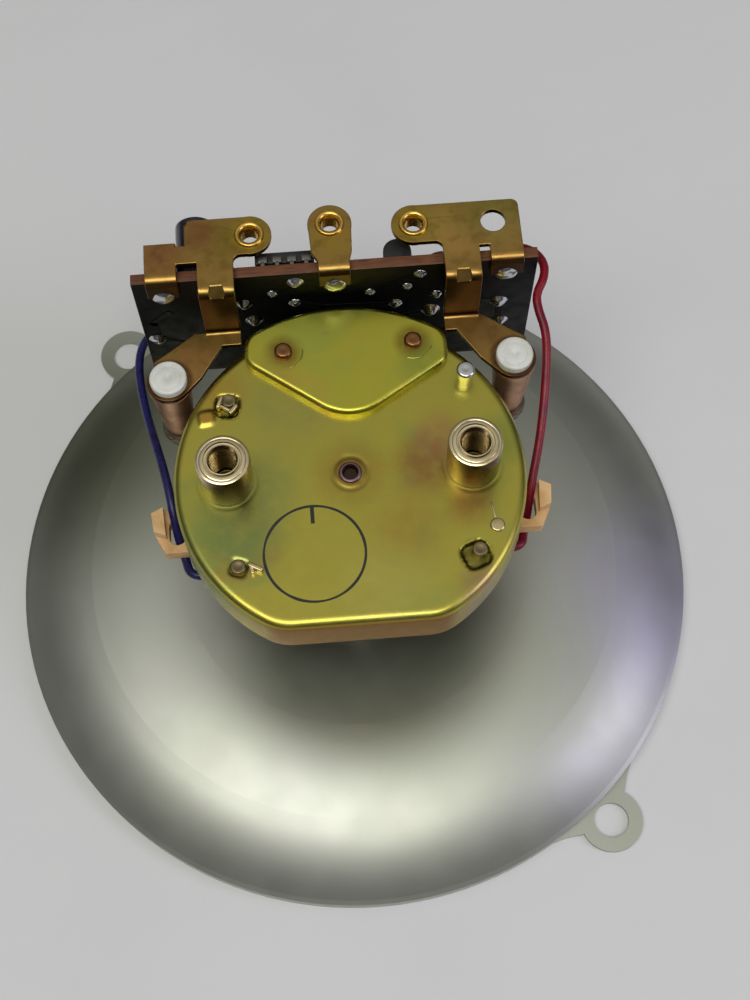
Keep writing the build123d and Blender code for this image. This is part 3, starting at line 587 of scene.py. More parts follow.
# Emboss: x, y, half width, height. Recesses: x, y, half width, depth, turn in degrees.
EMBOSS = (-18.4, 9.3, 1.15, 0.3)
LUG_RECESSES = [
    (15.2, -12.6, 1.8, -0.5, 22.0),
    (-15.1, -12.0, 1.3, -0.2, -20.0),
    (-15.6, 10.9, 1.7, -0.4, -8.0),
]
ROUND_STEPS = 330
CORNER_STEPS = 22
FLAT_STEPS = 48
RIVETS = [(-7.7, 17.6), (9.7, 17.9)]
PILLARS = [(-15.4, 11.8), (-15.1, -12.0), (15.7, -12.0)]
PILLAR_FOOT = COVER_FOOT - 6.8
# Bent tabs: x, y, turn in radians, half sizes, lowest and highest above the cover's top, bevel.
TAB_SLABS = [
    (-16.5, 11.3, 1.2, 0.9, 0.25, -0.3, 0.85, 0.12),
    (-14.8, 10.2, 0.9, 0.8, 0.25, -0.3, 0.7, 0.12),
    (-15.7, 10.4, -0.6, 1.0, 0.18, -0.3, 0.5, 0.1),
    (-12.9, -12.3, -0.5, 1.0, 0.3, -0.4, 0.95, 0.14),
    (-13.4, -12.5, 0.3, 0.25, 0.7, -0.4, 0.75, 0.12),
    (18.0, -6.6, 0.15, 0.12, 1.1, -0.1, 0.1, 0.05),
]
SHEET_TOP = COVER_TOP - SHEET
POST_THREAD_R = 1.65


def square_bump(x, y, cx, cy, half, turn_deg, edge=0.28):
    """One inside a rounded square and nought outside it."""
    a = radians(turn_deg)
    u = (x - cx) * cos(a) + (y - cy) * sin(a)
    v = -(x - cx) * sin(a) + (y - cy) * cos(a)
    reach = (abs(u) ** 4 + abs(v) ** 4) ** 0.25
    return 1 - smoothstep(half - edge, half + edge * 0.2, reach)


def cover_relief(x, y):
    """Height of the cover's pressed and stamped features above its flat top."""
    cx, cy, half, height = EMBOSS
    z = height * square_bump(x, y, cx, cy, half, 8)
    for cx, cy, half, depth, turn in LUG_RECESSES:
        z += depth * square_bump(x, y, cx, cy, half, turn)
    ring = hypot(x, y)
    z -= 1.3 * (1 - smoothstep(0.7, 1.0, ring))
    z -= 0.07 * exp(-((ring - 2.3) / 0.25) ** 2)
    z += 0.05 * exp(-((ring - 1.7) / 0.35) ** 2)
    for side in (-1, 1):
        ring = hypot(x - side * STANDOFF_X, y)
        z -= 0.06 * exp(-((ring - STANDOFF_R - 0.25) / 0.22) ** 2)
    z += 0.02 * noise.noise(Vector((x * 0.12, y * 0.12, 3.0)))
    return z


def cover_outline(inset):
    """Points round the cover, moved inwards: round side, corner, flat side, corner."""
    centre_y = COVER_CHORD_Y + CHORD_CORNER_R
    centre_x = sqrt((COVER_R - CHORD_CORNER_R) ** 2 - centre_y ** 2)
    corner = degrees(atan2(centre_y, centre_x))
    points = []

    def sweep(cx, cy, r, first, last, count):
        for i in range(count):
            a = radians(first + (last - first) * i / count)
            points.append((cx + (r - inset) * cos(a), cy + (r - inset) * sin(a)))

    sweep(0.0, 0.0, COVER_R, corner, 180 - corner, ROUND_STEPS)
    sweep(-centre_x, centre_y, CHORD_CORNER_R, 180 - corner, 270, CORNER_STEPS)
    for i in range(FLAT_STEPS):
        points.append((-centre_x + 2 * centre_x * i / FLAT_STEPS, COVER_CHORD_Y + inset))
    sweep(centre_x, centre_y, CHORD_CORNER_R, 270, 360 + corner, CORNER_STEPS)
    return points


def rear_cover():
    """Drawn cup with a rounded edge, a flat side and pressed details on its top."""
    bm = bmesh.new()
    rows = 96
    levels = []
    top_outline = cover_outline(COVER_EDGE_R)
    centre = bm.verts.new((0, 0, (COVER_TOP + cover_relief(0, 0)) * MM))
    for row in range(1, rows + 1):
        k = row / rows
        levels.append([(x * k, y * k, COVER_TOP + cover_relief(x * k, y * k)) for x, y in top_outline])
    for i in range(1, 8):
        a = radians(90 * i / 7)
        inset = COVER_EDGE_R * (1 - sin(a))
        z = COVER_TOP - COVER_EDGE_R * (1 - cos(a))
        levels.append([(x, y, z) for x, y in cover_outline(inset)])
    wall = [(0.0, COVER_FOOT + 0.1), (0.1, COVER_FOOT), (SHEET, COVER_FOOT)]
    wall += [(SHEET, SHEET_TOP - 0.4), (SHEET + 0.4, SHEET_TOP)]
    for inset, z in wall:
        levels.append([(x, y, z) for x, y in cover_outline(inset)])
    for k in (0.8, 0.5, 0.2):
        levels.append([(x * k, y * k, SHEET_TOP) for x, y in cover_outline(SHEET + 0.4)])
    rings = [[bm.verts.new((x * MM, y * MM, z * MM)) for x, y, z in level] for level in levels]
    count = len(rings[0])
    for i in range(count):
        bm.faces.new((centre, rings[0][i], rings[0][(i + 1) % count]))
    for first, second in zip(rings, rings[1:]):
        band(bm, first, second)
    bm.faces.new(rings[-1])
    piece("cover_cup", bm, "root", [COVER_ZINC], ["rear_cover"])


def stamp_ring():
    """Plain inked ring with one tick, on the cover's top."""
    bm = bmesh.new()
    cx, cy, r, width, lift = -5.3, -10.8, 6.5, 0.34, 0.03
    steps = 144
    inner, outer = [], []
    for i in range(steps):
        a = 2 * pi * i / steps
        wobble = 0.06 * noise.noise(Vector((cos(a) * 3, sin(a) * 3, 0.5)))
        for ring, radius in ((inner, r - width / 2 + wobble), (outer, r + width / 2 - wobble)):
            x, y = cx + radius * cos(a), cy + radius * sin(a)
            ring.append(bm.verts.new((x * MM, y * MM, (COVER_TOP + cover_relief(x, y) + lift) * MM)))
    band(bm, inner, outer)
    tick = [(cx - 0.25, cy + r - 2.4), (cx + 0.25, cy + r - 2.4), (cx + 0.25, cy + r), (cx - 0.25, cy + r)]
    bm.faces.new([bm.verts.new((x * MM, y * MM, (COVER_TOP + lift + 0.02) * MM)) for x, y in tick])
    piece("stamp_ring", bm, "root", [STAMP_INK])


def cover_trim():
    """Bearing, rivets, pillar ends, bent tabs and the bright pin on the cover."""
    top = box_mm("rear_bearing")[1].z
    profile = [(0.95, top - 2.5), (1.5, top - 2.5), (1.5, top - 0.25), *arc(1.25, top - 0.25, 0.25, 0, 90, 4)]
    profile += [(1.1, top), (0.95, top - 0.2)]
    spun("bearing_ring", "rear_bearing", BEARING_METAL, profile, [centre_of("rear_bearing")],
         64, True)

    plate_top = box_mm("bridge_plate")[1].z
    head = [(0, plate_top - 0.4), (1.15, plate_top - 0.4), (1.18, plate_top + 0.25)]
    head += arc(0.72, plate_top + 0.3, 0.46, 5, 80, 5) + [(0.35, plate_top + 0.72), (0, plate_top + 0.66)]
    spun("rivet_heads", "bridge_rivets", BROWN_STAKE, head, RIVETS, 48)

    bm = bmesh.new()
    for (x, y), first, last in zip(RIVETS, (-75, -110), (5, -20)):
        sweep = [radians(first + (last - first) * i / 20) for i in range(21)]
        tube_along(bm, [(x + 2.6 * cos(a), y + 2.6 * sin(a), plate_top) for a in sweep], 0.09, 8)
    piece("press_marks", bm, "root", [PLATE_ZINC])

    bm = bmesh.new()
    for x, y in PILLARS:
        stem = [(0, PILLAR_FOOT), (1.5, PILLAR_FOOT), (1.5, SHEET_TOP), (1.0, SHEET_TOP)]
        head = COVER_TOP - (0.55 if y > 0 else 0.0)
        stem += [(1.0, head + 0.35), *arc(0.8, head + 0.38, 0.2, 0, 80, 4)]
        stem += [(0.45, head + 0.5), (0, head + 0.42)]
        lathe(bm, stem, at(x, y), 40, closed=False)
    piece("pillar_stakes", bm, "root", [OLIVE_STAKE], ["cover_pillars"])

    top = box_mm("ground_pin")[1].z
    pin = [(0, PILLAR_FOOT), (1.5, PILLAR_FOOT), (1.5, SHEET_TOP), (1.0, SHEET_TOP)]
    pin += [(1.0, top - 1.6), (1.2, top - 1.45), (1.22, top - 0.5), *arc(0.85, top - 0.4, 0.4, 10, 80, 5)]
    pin += [(0.3, top - 0.06), (0, top - 0.12)]
    spun("bright_pin", "ground_pin", BRIGHT_STEEL, pin, [centre_of("ground_pin")], 48)

    bm = bmesh.new()
    for x, y, turn, half_x, half_y, low, high, bevel in TAB_SLABS:
        place = at(x, y, COVER_TOP) @ Matrix.Rotation(turn, 4, "Z")
        slab(bm, -half_x, half_x, -half_y, half_y, low, high, place, bevel)
    button = [(0, -0.2), (0.95, -0.2), (0.95, 0.15), *arc(0.75, 0.12, 0.2, 10, 85, 3), (0, 0.3)]
    lathe(bm, button, at(18.3, -8.8, COVER_TOP), 32, closed=False)
    piece("bent_tabs", bm, "root", [PALE_TURNED], ["cover_tabs"])


def standoffs():
    """Two turned posts with a grooved top, a countersunk mouth and a thread."""
    top = standoff_high.z
    r = STANDOFF_R
    profile = [(2.6, SHEET_TOP), (2.6, COVER_TOP), (r - 0.12, COVER_TOP), (r, COVER_TOP + 0.14)]
    profile += [(r, top - 0.3), (r - 0.1, top - 0.1), (r - 0.32, top)]
    profile += [(3.02, top), (2.96, top - 0.04), (2.9, top), (2.5, top - 0.01), (2.42, top - 0.22)]
    profile += [(2.2, top - 0.26), (2.12, top - 0.05), (1.98, top - 0.03)]
    profile += [(1.84, top - 0.3), (1.74, top - 0.6)]
    z = top - 0.9
    while z > COVER_TOP + 0.4:
        profile += [(1.86, z), (POST_THREAD_R, z - 0.3)]
        z -= 0.7
    profile += [(POST_THREAD_R, COVER_TOP - 0.1), (0, COVER_TOP - 0.25), (0, SHEET_TOP)]
    spun("threaded_posts", "standoffs", STANDOFF_METAL, profile,
         [(-STANDOFF_X, 0), (STANDOFF_X, 0)], 96, True)


# ---- terminals
EYELETS = [(-11.0, 31.3), (-0.3, 32.2), (10.8, 31.3)]


def eyelets():
    """Three formed eyelets: rolled lip on top, sleeve and flared foot below."""
    low, high = box_mm("terminal_eyelets")
    lip = high.z
    profile = [(1.15, low.z), (1.5, low.z), (1.52, strap_top - 0.6), (1.6, strap_top - 0.02)]
    profile += [(2.0, strap_top - 0.02), *arc(1.7, lip - 0.24, 0.24, 0, 90, 6)]
    profile += [(1.45, lip - 0.04), (1.3, lip - 0.2), (1.18, lip - 0.5), (1.15, lip - 1.0)]
    spun("rolled_eyelets", "terminal_eyelets", EYELET_BRASS, profile, EYELETS, 72, True)


def post_and_cap(name):
    """Tapered bronze post with a white push-in cap."""
    post = "spacer_post_" + name
    centre = [centre_of(post)]
    low, high = box_mm(post)
    foot, head = low.z, high.z
    profile = [(0, foot), (1.3, foot), *arc(1.45, foot + 0.5, 0.5, -80, -10, 4), (2.12, foot + 1.4)]
    profile += [(2.5, (foot + head) / 2), (2.82, head - 1.3), (2.95, head - 0.9), (2.95, head - 0.1)]
    profile += [(2.85, head), (1.6, head), (1.6, head - 4), (0, head - 4)]
    spun("post_" + name, post, POST_COPPER, profile, centre, 64, True)
    low, high = box_mm("post_cap_" + name)
    top = high.z
    cap = [(0, low.z), (1.58, low.z), (1.58, top - 1.2), (2.5, top - 1.2), (2.5, top - 0.35)]
    cap += arc(2.2, top - 0.3, 0.3, 0, 90, 6) + [(1.75, top), (1.68, top - 0.06), (1.6, top - 0.02)]
    cap += [(0.35, top - 0.04), (0.25, top - 0.12), (0, top - 0.12)]
    spun("cap_" + name, "post_cap_" + name, WHITE_NYLON, cap, centre, 64)


# ---- circuit board
# Turns a lathe's axis from +Z to +Y, away from the board's back.
BACKWARDS = Matrix.Rotation(radians(-90), 4, "X")
FACE_Y = board_low.y
BACK_Y = board_high.y
TABS = {"left": (-22.9, 44.4), "right": (22.8, 44.6), "middle": (-0.1, 44.6)}
JOINTS = [(-12.5, 40.0, 0.9), (-5.4, 44.8, 0.9), (-5.7, 39.5, 0.7), (-11.5, 35.5, 1.0), (8.0, 37.5, 0.8)]
JOINTS += [(12.9, 35.2, 1.1), (13.6, 39.2, 0.7), (11.3, 44.8, 0.7), (-25.3, 32.2, 1.0), (23.0, 30.8, 0.9)]
JOINTS += [(22.4, 36.2, 1.0), (-8.6, 42.3, 0.6), (4.6, 41.0, 0.6), (9.6, 41.8, 0.6)]
TRACES = [
    [(-22.9, 39.0), (-25.3, 36.5), (-25.3, 32.2)],
    [(-12.5, 40.0), (-8.6, 42.3), (-5.4, 44.8)],
    [(-5.7, 39.5), (-2.0, 38.0), (8.0, 37.5)],
    [(-11.5, 35.5), (-6.0, 33.0), (6.0, 33.0), (12.9, 35.2)],
    [(9.6, 41.8), (13.6, 39.2), (22.4, 36.2)],
    [(22.4, 36.2), (23.0, 30.8)],
    [(-25.3, 32.2), (-18.0, 29.0), (12.0, 28.5), (23.0, 30.8)],
    [(11.3, 44.8), (4.6, 41.0)],
]


def circuit_board():
    """Board on its edge: dark resist in front, brown laminate on its edges and back, raised tracks."""
    bm = bmesh.new()
    slab(bm, board_low.x, board_high.x, FACE_Y, BACK_Y, board_low.z, board_high.z, bevel=0.12)
    for face in bm.faces:
        centre = face.calc_center_median() / MM
        face.material_index = 0 if centre.y < FACE_Y + 0.02 else 1
    for run in TRACES:
        for (x0, z0), (x1, z1) in zip(run, run[1:]):
            length = hypot(x1 - x0, z1 - z0)
            turn = atan2(z1 - z0, x1 - x0)
            place = at((x0 + x1) / 2, FACE_Y, (z0 + z1) / 2) @ Matrix.Rotation(-turn, 4, "Y")
            half = length / 2 + 0.4
            slab(bm, -half, half, -0.06, 0.05, -0.55, 0.55, place, 0.03, 0)
    piece("board_sheet", bm, "root", [MASK, PHENOLIC], ["circuit_board"])


SOLDER_SEED = 11


def solder_fillets():
    """Solder drawn up round each pin and over the ends of the terminals' tabs."""
    bm = bmesh.new()
    noise.seed_set(SOLDER_SEED)
    upright = Matrix.Rotation(radians(90), 4, "X")
    spots = [(x, z, 1.2 * r, 0.8 * r, 0.3) for x, z, r in JOINTS]
    spots += [(x, z, 2.0, 1.35, 0.62) for x, z in TABS.values()]
    for x, z, r, height, blunt in spots:
        profile = [(r * 1.1, -0.08), (r * 1.04, 0.03), (r * 0.9, height * 0.14)]
        profile += [(r * (0.72 + blunt * 0.2), height * 0.36)]
        profile += [(r * (0.5 + blunt * 0.3), height * 0.62), (r * (0.28 + blunt * 0.3), height * 0.84)]
        profile += [(r * 0.16, height * 0.97), (0, height)]
        first = len(bm.verts)
        lathe(bm, profile, at(x, FACE_Y, z) @ upright, 36, closed=False)
        bm.verts.ensure_lookup_table()
        for vert in bm.verts[first:]:
            depth = (FACE_Y * MM - vert.co.y) / MM
            push = noise.noise_vector(vert.co / MM * 0.9) * 0.16 * min(1.0, max(0.0, depth))
            vert.co += push * MM
    piece("solder_fillets", bm, "root", [SOLDER], ["solder_joints"])


def capacitor():
    """Electrolytic can lying on its side, its sleeve shrunk over the rim, with a vented end."""
    low, high = box_mm("capacitor")
    r = (high.x - low.x) / 2
    x, z = (low.x + high.x) / 2, (low.z + high.z) / 2
    long = high.y - low.y
    flat = at(x, BACK_Y, z) @ BACKWARDS
    bm = bmesh.new()
    sleeve = [(0, 0.05), (r - 0.3, 0.05), *arc(r - 0.3, 0.35, 0.3, -90, 0, 4), (r, 1.0)]
    sleeve += [(r - 0.28, 1.35), (r, 1.7)]
    sleeve += [(r, long - 0.5), *arc(r - 0.45, long - 0.45, 0.45, 0, 90, 6), (r - 0.9, long - 0.05)]
    sleeve += [(r - 0.95, long - 0.2)]
    lathe(bm, sleeve, flat, 64, closed=False)
    end = [(r - 0.95, long - 0.22), (0.6, long - 0.24), (0, long - 0.24)]
    lathe(bm, end, flat, 64, closed=False, material=1)
    for turn in (0, 90):
        cut = flat @ Matrix.Rotation(radians(turn + 45), 4, "Z")
        slab(bm, -1.7, 1.7, -0.12, 0.12, long - 0.26, long - 0.17, cut, 0.03, 2)
    piece("capacitor_can", bm, "root", [SLEEVE, BRIGHT_STEEL, MOTOR_STEEL],
          ["capacitor"])


def wire_legs(bm, x, z0, z1, y, drop, material=1):
    """Two bent legs from a lying body's ends into the board."""
    for z, way in ((z0, -1), (z1, 1)):
        points = [(x, y, z - way * 0.6), (x, y, z + way * 0.9), (x, y - 0.25, z + way * 1.35)]
        points += [(x, y - 0.7, z + way * 1.5), (x, BACK_Y - drop, z + way * 1.5)]
        tube_along(bm, points, 0.26, 10, material)


def resistors():
    """Four banded resistors standing off the back of the board."""
    bm = bmesh.new()
    for i, (x, z) in enumerate(((-14.0, 33.0), (-8.0, 33.0), (2.0, 36.0), (13.5, 33.0))):
        y = BACK_Y + 1.2
        half = 3.0
        body = [(0, -half), (0.5, -half), *arc(0.7, -half + 0.35, 0.35, -80, 0, 4), (1.08, -half + 0.8)]
        body += [(1.08, -half + 1.5), (0.86, -half + 1.9), (0.84, 0), (0.86, half - 1.9), (1.08, half - 1.5)]
        body += [(1.08, half - 0.8), *arc(0.7, half - 0.35, 0.35, 0, 80, 4), (0.5, half), (0, half)]
        lathe(bm, body, at(x, y, z), 40, closed=False)
        for middle, material in ((-1.2, 2), (-0.55, 3 + i % 2), (0.1, 4 - i % 2), (1.1, 5)):
            stripe = [(0.84, middle - 0.18), (0.895, middle - 0.17)]
            stripe += [(0.895, middle + 0.17), (0.84, middle + 0.18)]
            lathe(bm, stripe, at(x, y, z), 40, material=material)
        wire_legs(bm, x, z - half, z + half, y, 0.6)
    colours = [LACQUER, SOLDER, RED_PVC, BLUE_PVC, BLACK_PLASTIC, EYELET_BRASS]
    piece("banded_resistors", bm, "root", colours, ["resistors"])


# Parts of a chip's leg: half width, nearest and furthest from the board, along its reach, bevel.
CHIP_LEG = [
    (0.6, 1.1, 1.35, -0.1, 0.1, 0.05),
    (0.6, 1.1, 1.35, 0.0, 0.8, 0.08),
    (0.6, 0.45, 1.3, 0.56, 0.8, 0.06),
    (0.28, -0.3, 0.6, 0.56, 0.8, 0.05),
]


def driver_chip():
    """Dual in-line package with bent legs and a dimple."""
    low, high = box_mm("driver_chip")
    bm = bmesh.new()
    slab(bm, low.x + 0.05, high.x - 0.05, BACK_Y + 0.7, high.y, low.z + 0.75, high.z - 0.75, bevel=0.18)
    count = 4
    for i in range(count):
        x = low.x + 1.1 + (high.x - low.x - 2.2) * i / (count - 1)
        for z, way in ((low.z + 0.85, -1), (high.z - 0.85, 1)):
            for half, y0, y1, near_z, far_z, bevel in CHIP_LEG:
                z0, z1 = sorted((z + way * near_z, z + way * far_z))
                slab(bm, x - half, x + half, BACK_Y + y0, BACK_Y + y1, z0, z1, bevel=bevel, material=1)
    dimple = [(0, -0.02), (0.5, -0.02), (0.55, 0.02), (0.62, 0.0)]
    lathe(bm, dimple, at(low.x + 1.4, high.y - 0.02, low.z + 1.7) @ BACKWARDS, 28, closed=False)
    piece("chip_package", bm, "root", [BLACK_PLASTIC, MOTOR_STEEL], ["driver_chip"])


def transistor():
    """Small plastic transistor with a rounded back and three legs."""
    low, high = box_mm("transistor")
    x = (low.x + high.x) / 2
    r = (high.x - low.x) / 2
    bm = bmesh.new()
    outline = [(x - r, BACK_Y + 0.15), (x + r, BACK_Y + 0.15), (x + r, BACK_Y + r)]
    outline += [(x + r * cos(radians(a)), BACK_Y + r + r * sin(radians(a))) for a in range(15, 180, 15)]
    outline += [(x - r, BACK_Y + r)]
    face = bm.faces.new([bm.verts.new((px * MM, py * MM, low.z * MM)) for px, py in outline])
    grown = bmesh.ops.extrude_face_region(bm, geom=[face])
    for vert in [g for g in grown["geom"] if isinstance(g, bmesh.types.BMVert)]:
        vert.co.z = high.z * MM
    rim = [e for e in bm.edges if abs(e.verts[0].co.z - e.verts[1].co.z) < 1e-9]
    bmesh.ops.bevel(bm, geom=rim, offset=0.2 * MM, segments=3, profile=0.5, affect="EDGES")
    for i in (-1, 0, 1):
        y = BACK_Y + 1.2
        z = low.z
        points = [(x + i * 1.2, y, z + 0.4), (x + i * 1.2, y, z - 0.9), (x + i * 1.2, y - 0.3, z - 1.4)]
        points += [(x + i * 1.2, y - 0.8, z - 1.6), (x + i * 1.2, BACK_Y - 0.4, z - 1.6)]
        tube_along(bm, points, 0.24, 8, 1)
    piece("transistor_case", bm, "root", [BLACK_PLASTIC, SOLDER], ["transistor"])


def trim_block():
    """Adjusting block with a slotted brass screw, its slot a thin black strip of painted shade."""
    low, high = box_mm("trim_block")
    bm = bmesh.new()
    slab(bm, low.x, high.x, BACK_Y, high.y - 0.5, low.z, high.z, bevel=0.25)
    x, z = (low.x + high.x) / 2, (low.z + high.z) / 2
    place = at(x, high.y - 0.6, z) @ BACKWARDS
    head = [(0, 0), (1.15, 0), (1.15, 0.38), *arc(1.0, 0.4, 0.15, 0, 80, 3), (0, 0.55)]
    lathe(bm, head, place, 40, closed=False, material=1)
    # Painted shade: the slot is a thin black strip on the head.
    slab(bm, -1.0, 1.0, -0.14, 0.14, 0.5, 0.585, place @ Matrix.Rotation(0.6, 4, "Z"), 0.02, 2)
    materials = [BLACK_PLASTIC, EYELET_BRASS, BLACK_PRINT_AND_SLOT_SHADE]
    piece("trim_body", bm, "root", materials, ["trim_block"])


def film_capacitor():
    """Dipped film capacitor with swollen sides and two legs."""
    low, high = box_mm("film_capacitor")
    centre = (low + high) / 2
    half = (high - low) / 2
    bm = bmesh.new()
    bmesh.ops.create_uvsphere(bm, u_segments=40, v_segments=24, radius=1.0)
    for vert in bm.verts:
        c = vert.co
        power = 0.42
        shaped = Vector([abs(c[i]) ** power * (1 if c[i] > 0 else -1) for i in range(3)])
        shaped = shaped.lerp(c, 0.25)
        local = Vector((shaped.x * half.x, shaped.y * half.y * 0.9, shaped.z * half.z)) * 0.98
        vert.co = (centre + local) * MM
    for side in (-1, 1):
        x = centre.x + side * 2.0
        points = [(x, centre.y, low.z + 0.7), (x, centre.y, low.z - 0.4), (x, centre.y - 0.4, low.z - 0.8)]
        points += [(x, BACK_Y - 0.4, low.z - 1.0)]
        tube_along(bm, points, 0.26, 10, 1)
    piece("dipped_capacitor", bm, "root", [BROWN_DIP, SOLDER], ["film_capacitor"])


# ---- motor
WIRE_PITCH = 0.2


def winding(name):
    """Coil of fine wire, layer on layer, showing its outermost turns."""
    low, high = box_mm(name)
    r = high.x - 0.06
    count = int((high.z - low.z) / WIRE_PITCH)
    step = (high.z - low.z) / count
    profile = [(r - 3.4, high.z), (r - 3.4, low.z)]
    for i in range(count):
        z = low.z + step * i
        profile += [(r - 0.06, z), (r + 0.02, z + step * 0.25)]
        profile += [(r + 0.05, z + step * 0.5), (r + 0.02, z + step * 0.75)]
    profile += [(r - 0.06, high.z)]
    spun(name + "_turns", name, WIRE, profile, [(0, 0)], 120, True)


# ---- leads
LEAD_R = 0.0006
RED_ROUTE = [
    (0.0224, 0.0272, 0.0420), (0.0224, 0.0298, 0.0420), (0.0246, 0.0308, 0.0418),
    (0.0272, 0.0293, 0.0426), (0.0283, 0.0269, 0.0432), (0.0280, 0.0246, 0.0432),
    (0.0267, 0.0225, 0.0428), (0.0267, 0.0206, 0.0423), (0.0276, 0.0174, 0.0413),
    (0.0273, 0.0134, 0.0398), (0.0266, 0.0088, 0.0378), (0.0257, 0.0044, 0.0356),
    (0.0246, 0.0006, 0.0336), (0.0238, -0.0024, 0.0318), (0.0235, -0.0040, 0.0297),
    (0.0229, -0.0060, 0.0282), (0.0224, -0.0083, 0.0289), (0.0204, -0.0083, 0.0289),
]
BLUE_ROUTE = [
    (-0.0230, 0.0272, 0.0270), (-0.0230, 0.0298, 0.0270), (-0.0258, 0.0304, 0.0268),
    (-0.0280, 0.0282, 0.0271), (-0.0287, 0.0250, 0.0277), (-0.0285, 0.0208, 0.0284),
    (-0.0276, 0.0158, 0.0298), (-0.0264, 0.0108, 0.0314), (-0.0252, 0.0062, 0.0329),
    (-0.0243, 0.0020, 0.0334), (-0.0238, -0.0016, 0.0324), (-0.0235, -0.0040, 0.0297),
    (-0.0229, -0.0060, 0.0282), (-0.0222, -0.0090, 0.0289), (-0.0204, -0.0090, 0.0289),
]


def lead(name, node, route, material):
    """Insulated wire on one smooth curve, held by the object at both ends."""
    curve = bpy.data.curves.new(name, "CURVE")
    curve.dimensions = "3D"
    curve.resolution_u = 10
    curve.bevel_depth = LEAD_R
    curve.bevel_resolution = 5
    curve.use_fill_caps = True
    spline = curve.splines.new("NURBS")
    spline.points.add(len(route) - 1)
    for point, place in zip(spline.points, route):
        point.co = (*place, 1.0)
    spline.order_u = 3
    spline.use_endpoint_u = True
    curve.materials.append(material)
    wire = in_scene(name, curve)
    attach(wire, "root")
    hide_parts(node)


# ---- scale on the dial's front
SCALE_START = -60.0
SCALE_SPAN = 300
MINUTE_DEG = 5.0
TICK_OUTER_R = 45.0
RAIL_R = (45.0, 45.3)
NUMERAL_R = 34.6
NUMERAL_MM = 6.2


def dial_face():
    """Printed minute scale on the concave front of the dial."""
    plate = nodes["dial_plate"].data
    tree = BVHTree.FromPolygons([v.co for v in plate.vertices], [p.vertices for p in plate.polygons])

    def on_face(x, y, lift=0.04):
        hit = tree.ray_cast(Vector((x * MM, y * MM, -0.01)), Vector((0, 0, 1)))[0]
        return Vector((x * MM, y * MM, (hit.z if hit else 0.008) - lift * MM))

    bm = bmesh.new()
    for minute in range(61):
        angle = radians(SCALE_START + MINUTE_DEG * minute)
        major = minute % 10 == 0
        medium = minute % 5 == 0
        inner = 39.6 if major else 41.4 if medium else 43.0
        half = 0.42 if major else 0.26 if medium else 0.16
        rows = []
        steps = 6
        for i in range(steps + 1):
            r = inner + (TICK_OUTER_R - inner) * i / steps
            across = (-sin(angle) * half, cos(angle) * half)
            ends = [(r * cos(angle) + s * across[0], r * sin(angle) + s * across[1]) for s in (-1, 1)]
            rows.append([bm.verts.new(on_face(x, y)) for x, y in ends])
        for first, second in zip(rows, rows[1:]):
            bm.faces.new((first[0], first[1], second[1], second[0]))
    rail_steps = 200
    rows = []
    for i in range(rail_steps + 1):
        angle = radians(SCALE_START + SCALE_SPAN * i / rail_steps)
        rows.append([bm.verts.new(on_face(r * cos(angle), r * sin(angle))) for r in RAIL_R])
    for first, second in zip(rows, rows[1:]):
        bm.faces.new((first[0], first[1], second[1], second[0]))
    piece("scale_ticks", bm, "root", [BLACK_PRINT_AND_SLOT_SHADE])
    for minute in range(0, 61, 10):
        angle = radians(SCALE_START + MINUTE_DEG * minute)
        letters = bpy.data.curves.new("numeral", "FONT")
        letters.body = str(minute)
        letters.size = NUMERAL_MM * MM
        letters.align_x = "CENTER"
        letters.align_y = "CENTER"
        letters.resolution_u = 4
        made = in_scene("numeral_shape", letters)
        bpy.context.view_layer.update()
        flat = bpy.data.meshes.new_from_object(made.evaluated_get(bpy.context.evaluated_depsgraph_get()))
        bpy.data.objects.remove(made)
        cx, cy = NUMERAL_R * cos(angle), NUMERAL_R * sin(angle)
        for vert in flat.vertices:
            vert.co = on_face(cx - vert.co.x / MM, cy + vert.co.y / MM, 0.06)
        bm = bmesh.new()
        bm.from_mesh(flat)
        bpy.data.meshes.remove(flat)
        piece("numeral_" + str(minute), bm, "root", [BLACK_PRINT_AND_SLOT_SHADE])


# ---- build everything
rear_cover()
stamp_ring()
cover_trim()
standoffs()
eyelets()
for post_name in ("left", "right"):
    post_and_cap(post_name)
circuit_board()
solder_fillets()
capacitor()
resistors()
driver_chip()
transistor()
trim_block()
film_capacitor()
winding("winding_front")
winding("winding_rear")
lead("lead_red_wire", "lead_red", RED_ROUTE, RED_PVC)
lead("lead_blue_wire", "lead_blue", BLUE_ROUTE, BLUE_PVC)
dial_face()

# Kept nodes by finish, with the softening of their edges.
KEPT = [
    (ALUMINIUM, 0.0, 2, ["dial_plate"]),
    (PLATE_ZINC, 0.0, 2, ["bridge_plate"]),
    (STRAP_ZINC, 0.12, 3, ["terminal_left", "terminal_middle", "terminal_right"]),
    (FRAME_STEEL, 0.1, 2, ["gear_pillars"]),
    (SHADED_STEEL, 0.1, 2, ["front_plate", "middle_plate"]),
    (MOTOR_STEEL, 0.06, 2, ["stator_can", "pole_ring"]),
    (TAN_RESIN, 0.1, 3, ["bobbin_front", "bobbin_rear"]),
    (BRIGHT_STEEL, 0.05, 2, ["dial_screws", "zero_stop", "intermediate_arbor", "hand_spindle"]),
    (DARK_STEEL, 0.05, 2, ["rotor_arbor"]),
    (GEAR_BRASS, 0.03, 2, ["front_bush", "rotor_bush", "rotor_pinion", "intermediate_pinion",
                           "intermediate_wheel", "hand_wheel"]),
    (FERRITE, 0.15, 2, ["rotor_magnet"]),
    (BLACK_PLASTIC, 0.08, 2, ["rotor_hub"]),
    (ORANGE_PAINT, 0.08, 2, ["hand"]),
    (BLACK_PLASTIC, 0.0, 2, ["hand_cap"]),
]
for finish, edge, steps_round, kept in KEPT:
    for node_name in kept:
        keep(node_name, finish, edge, steps_round)


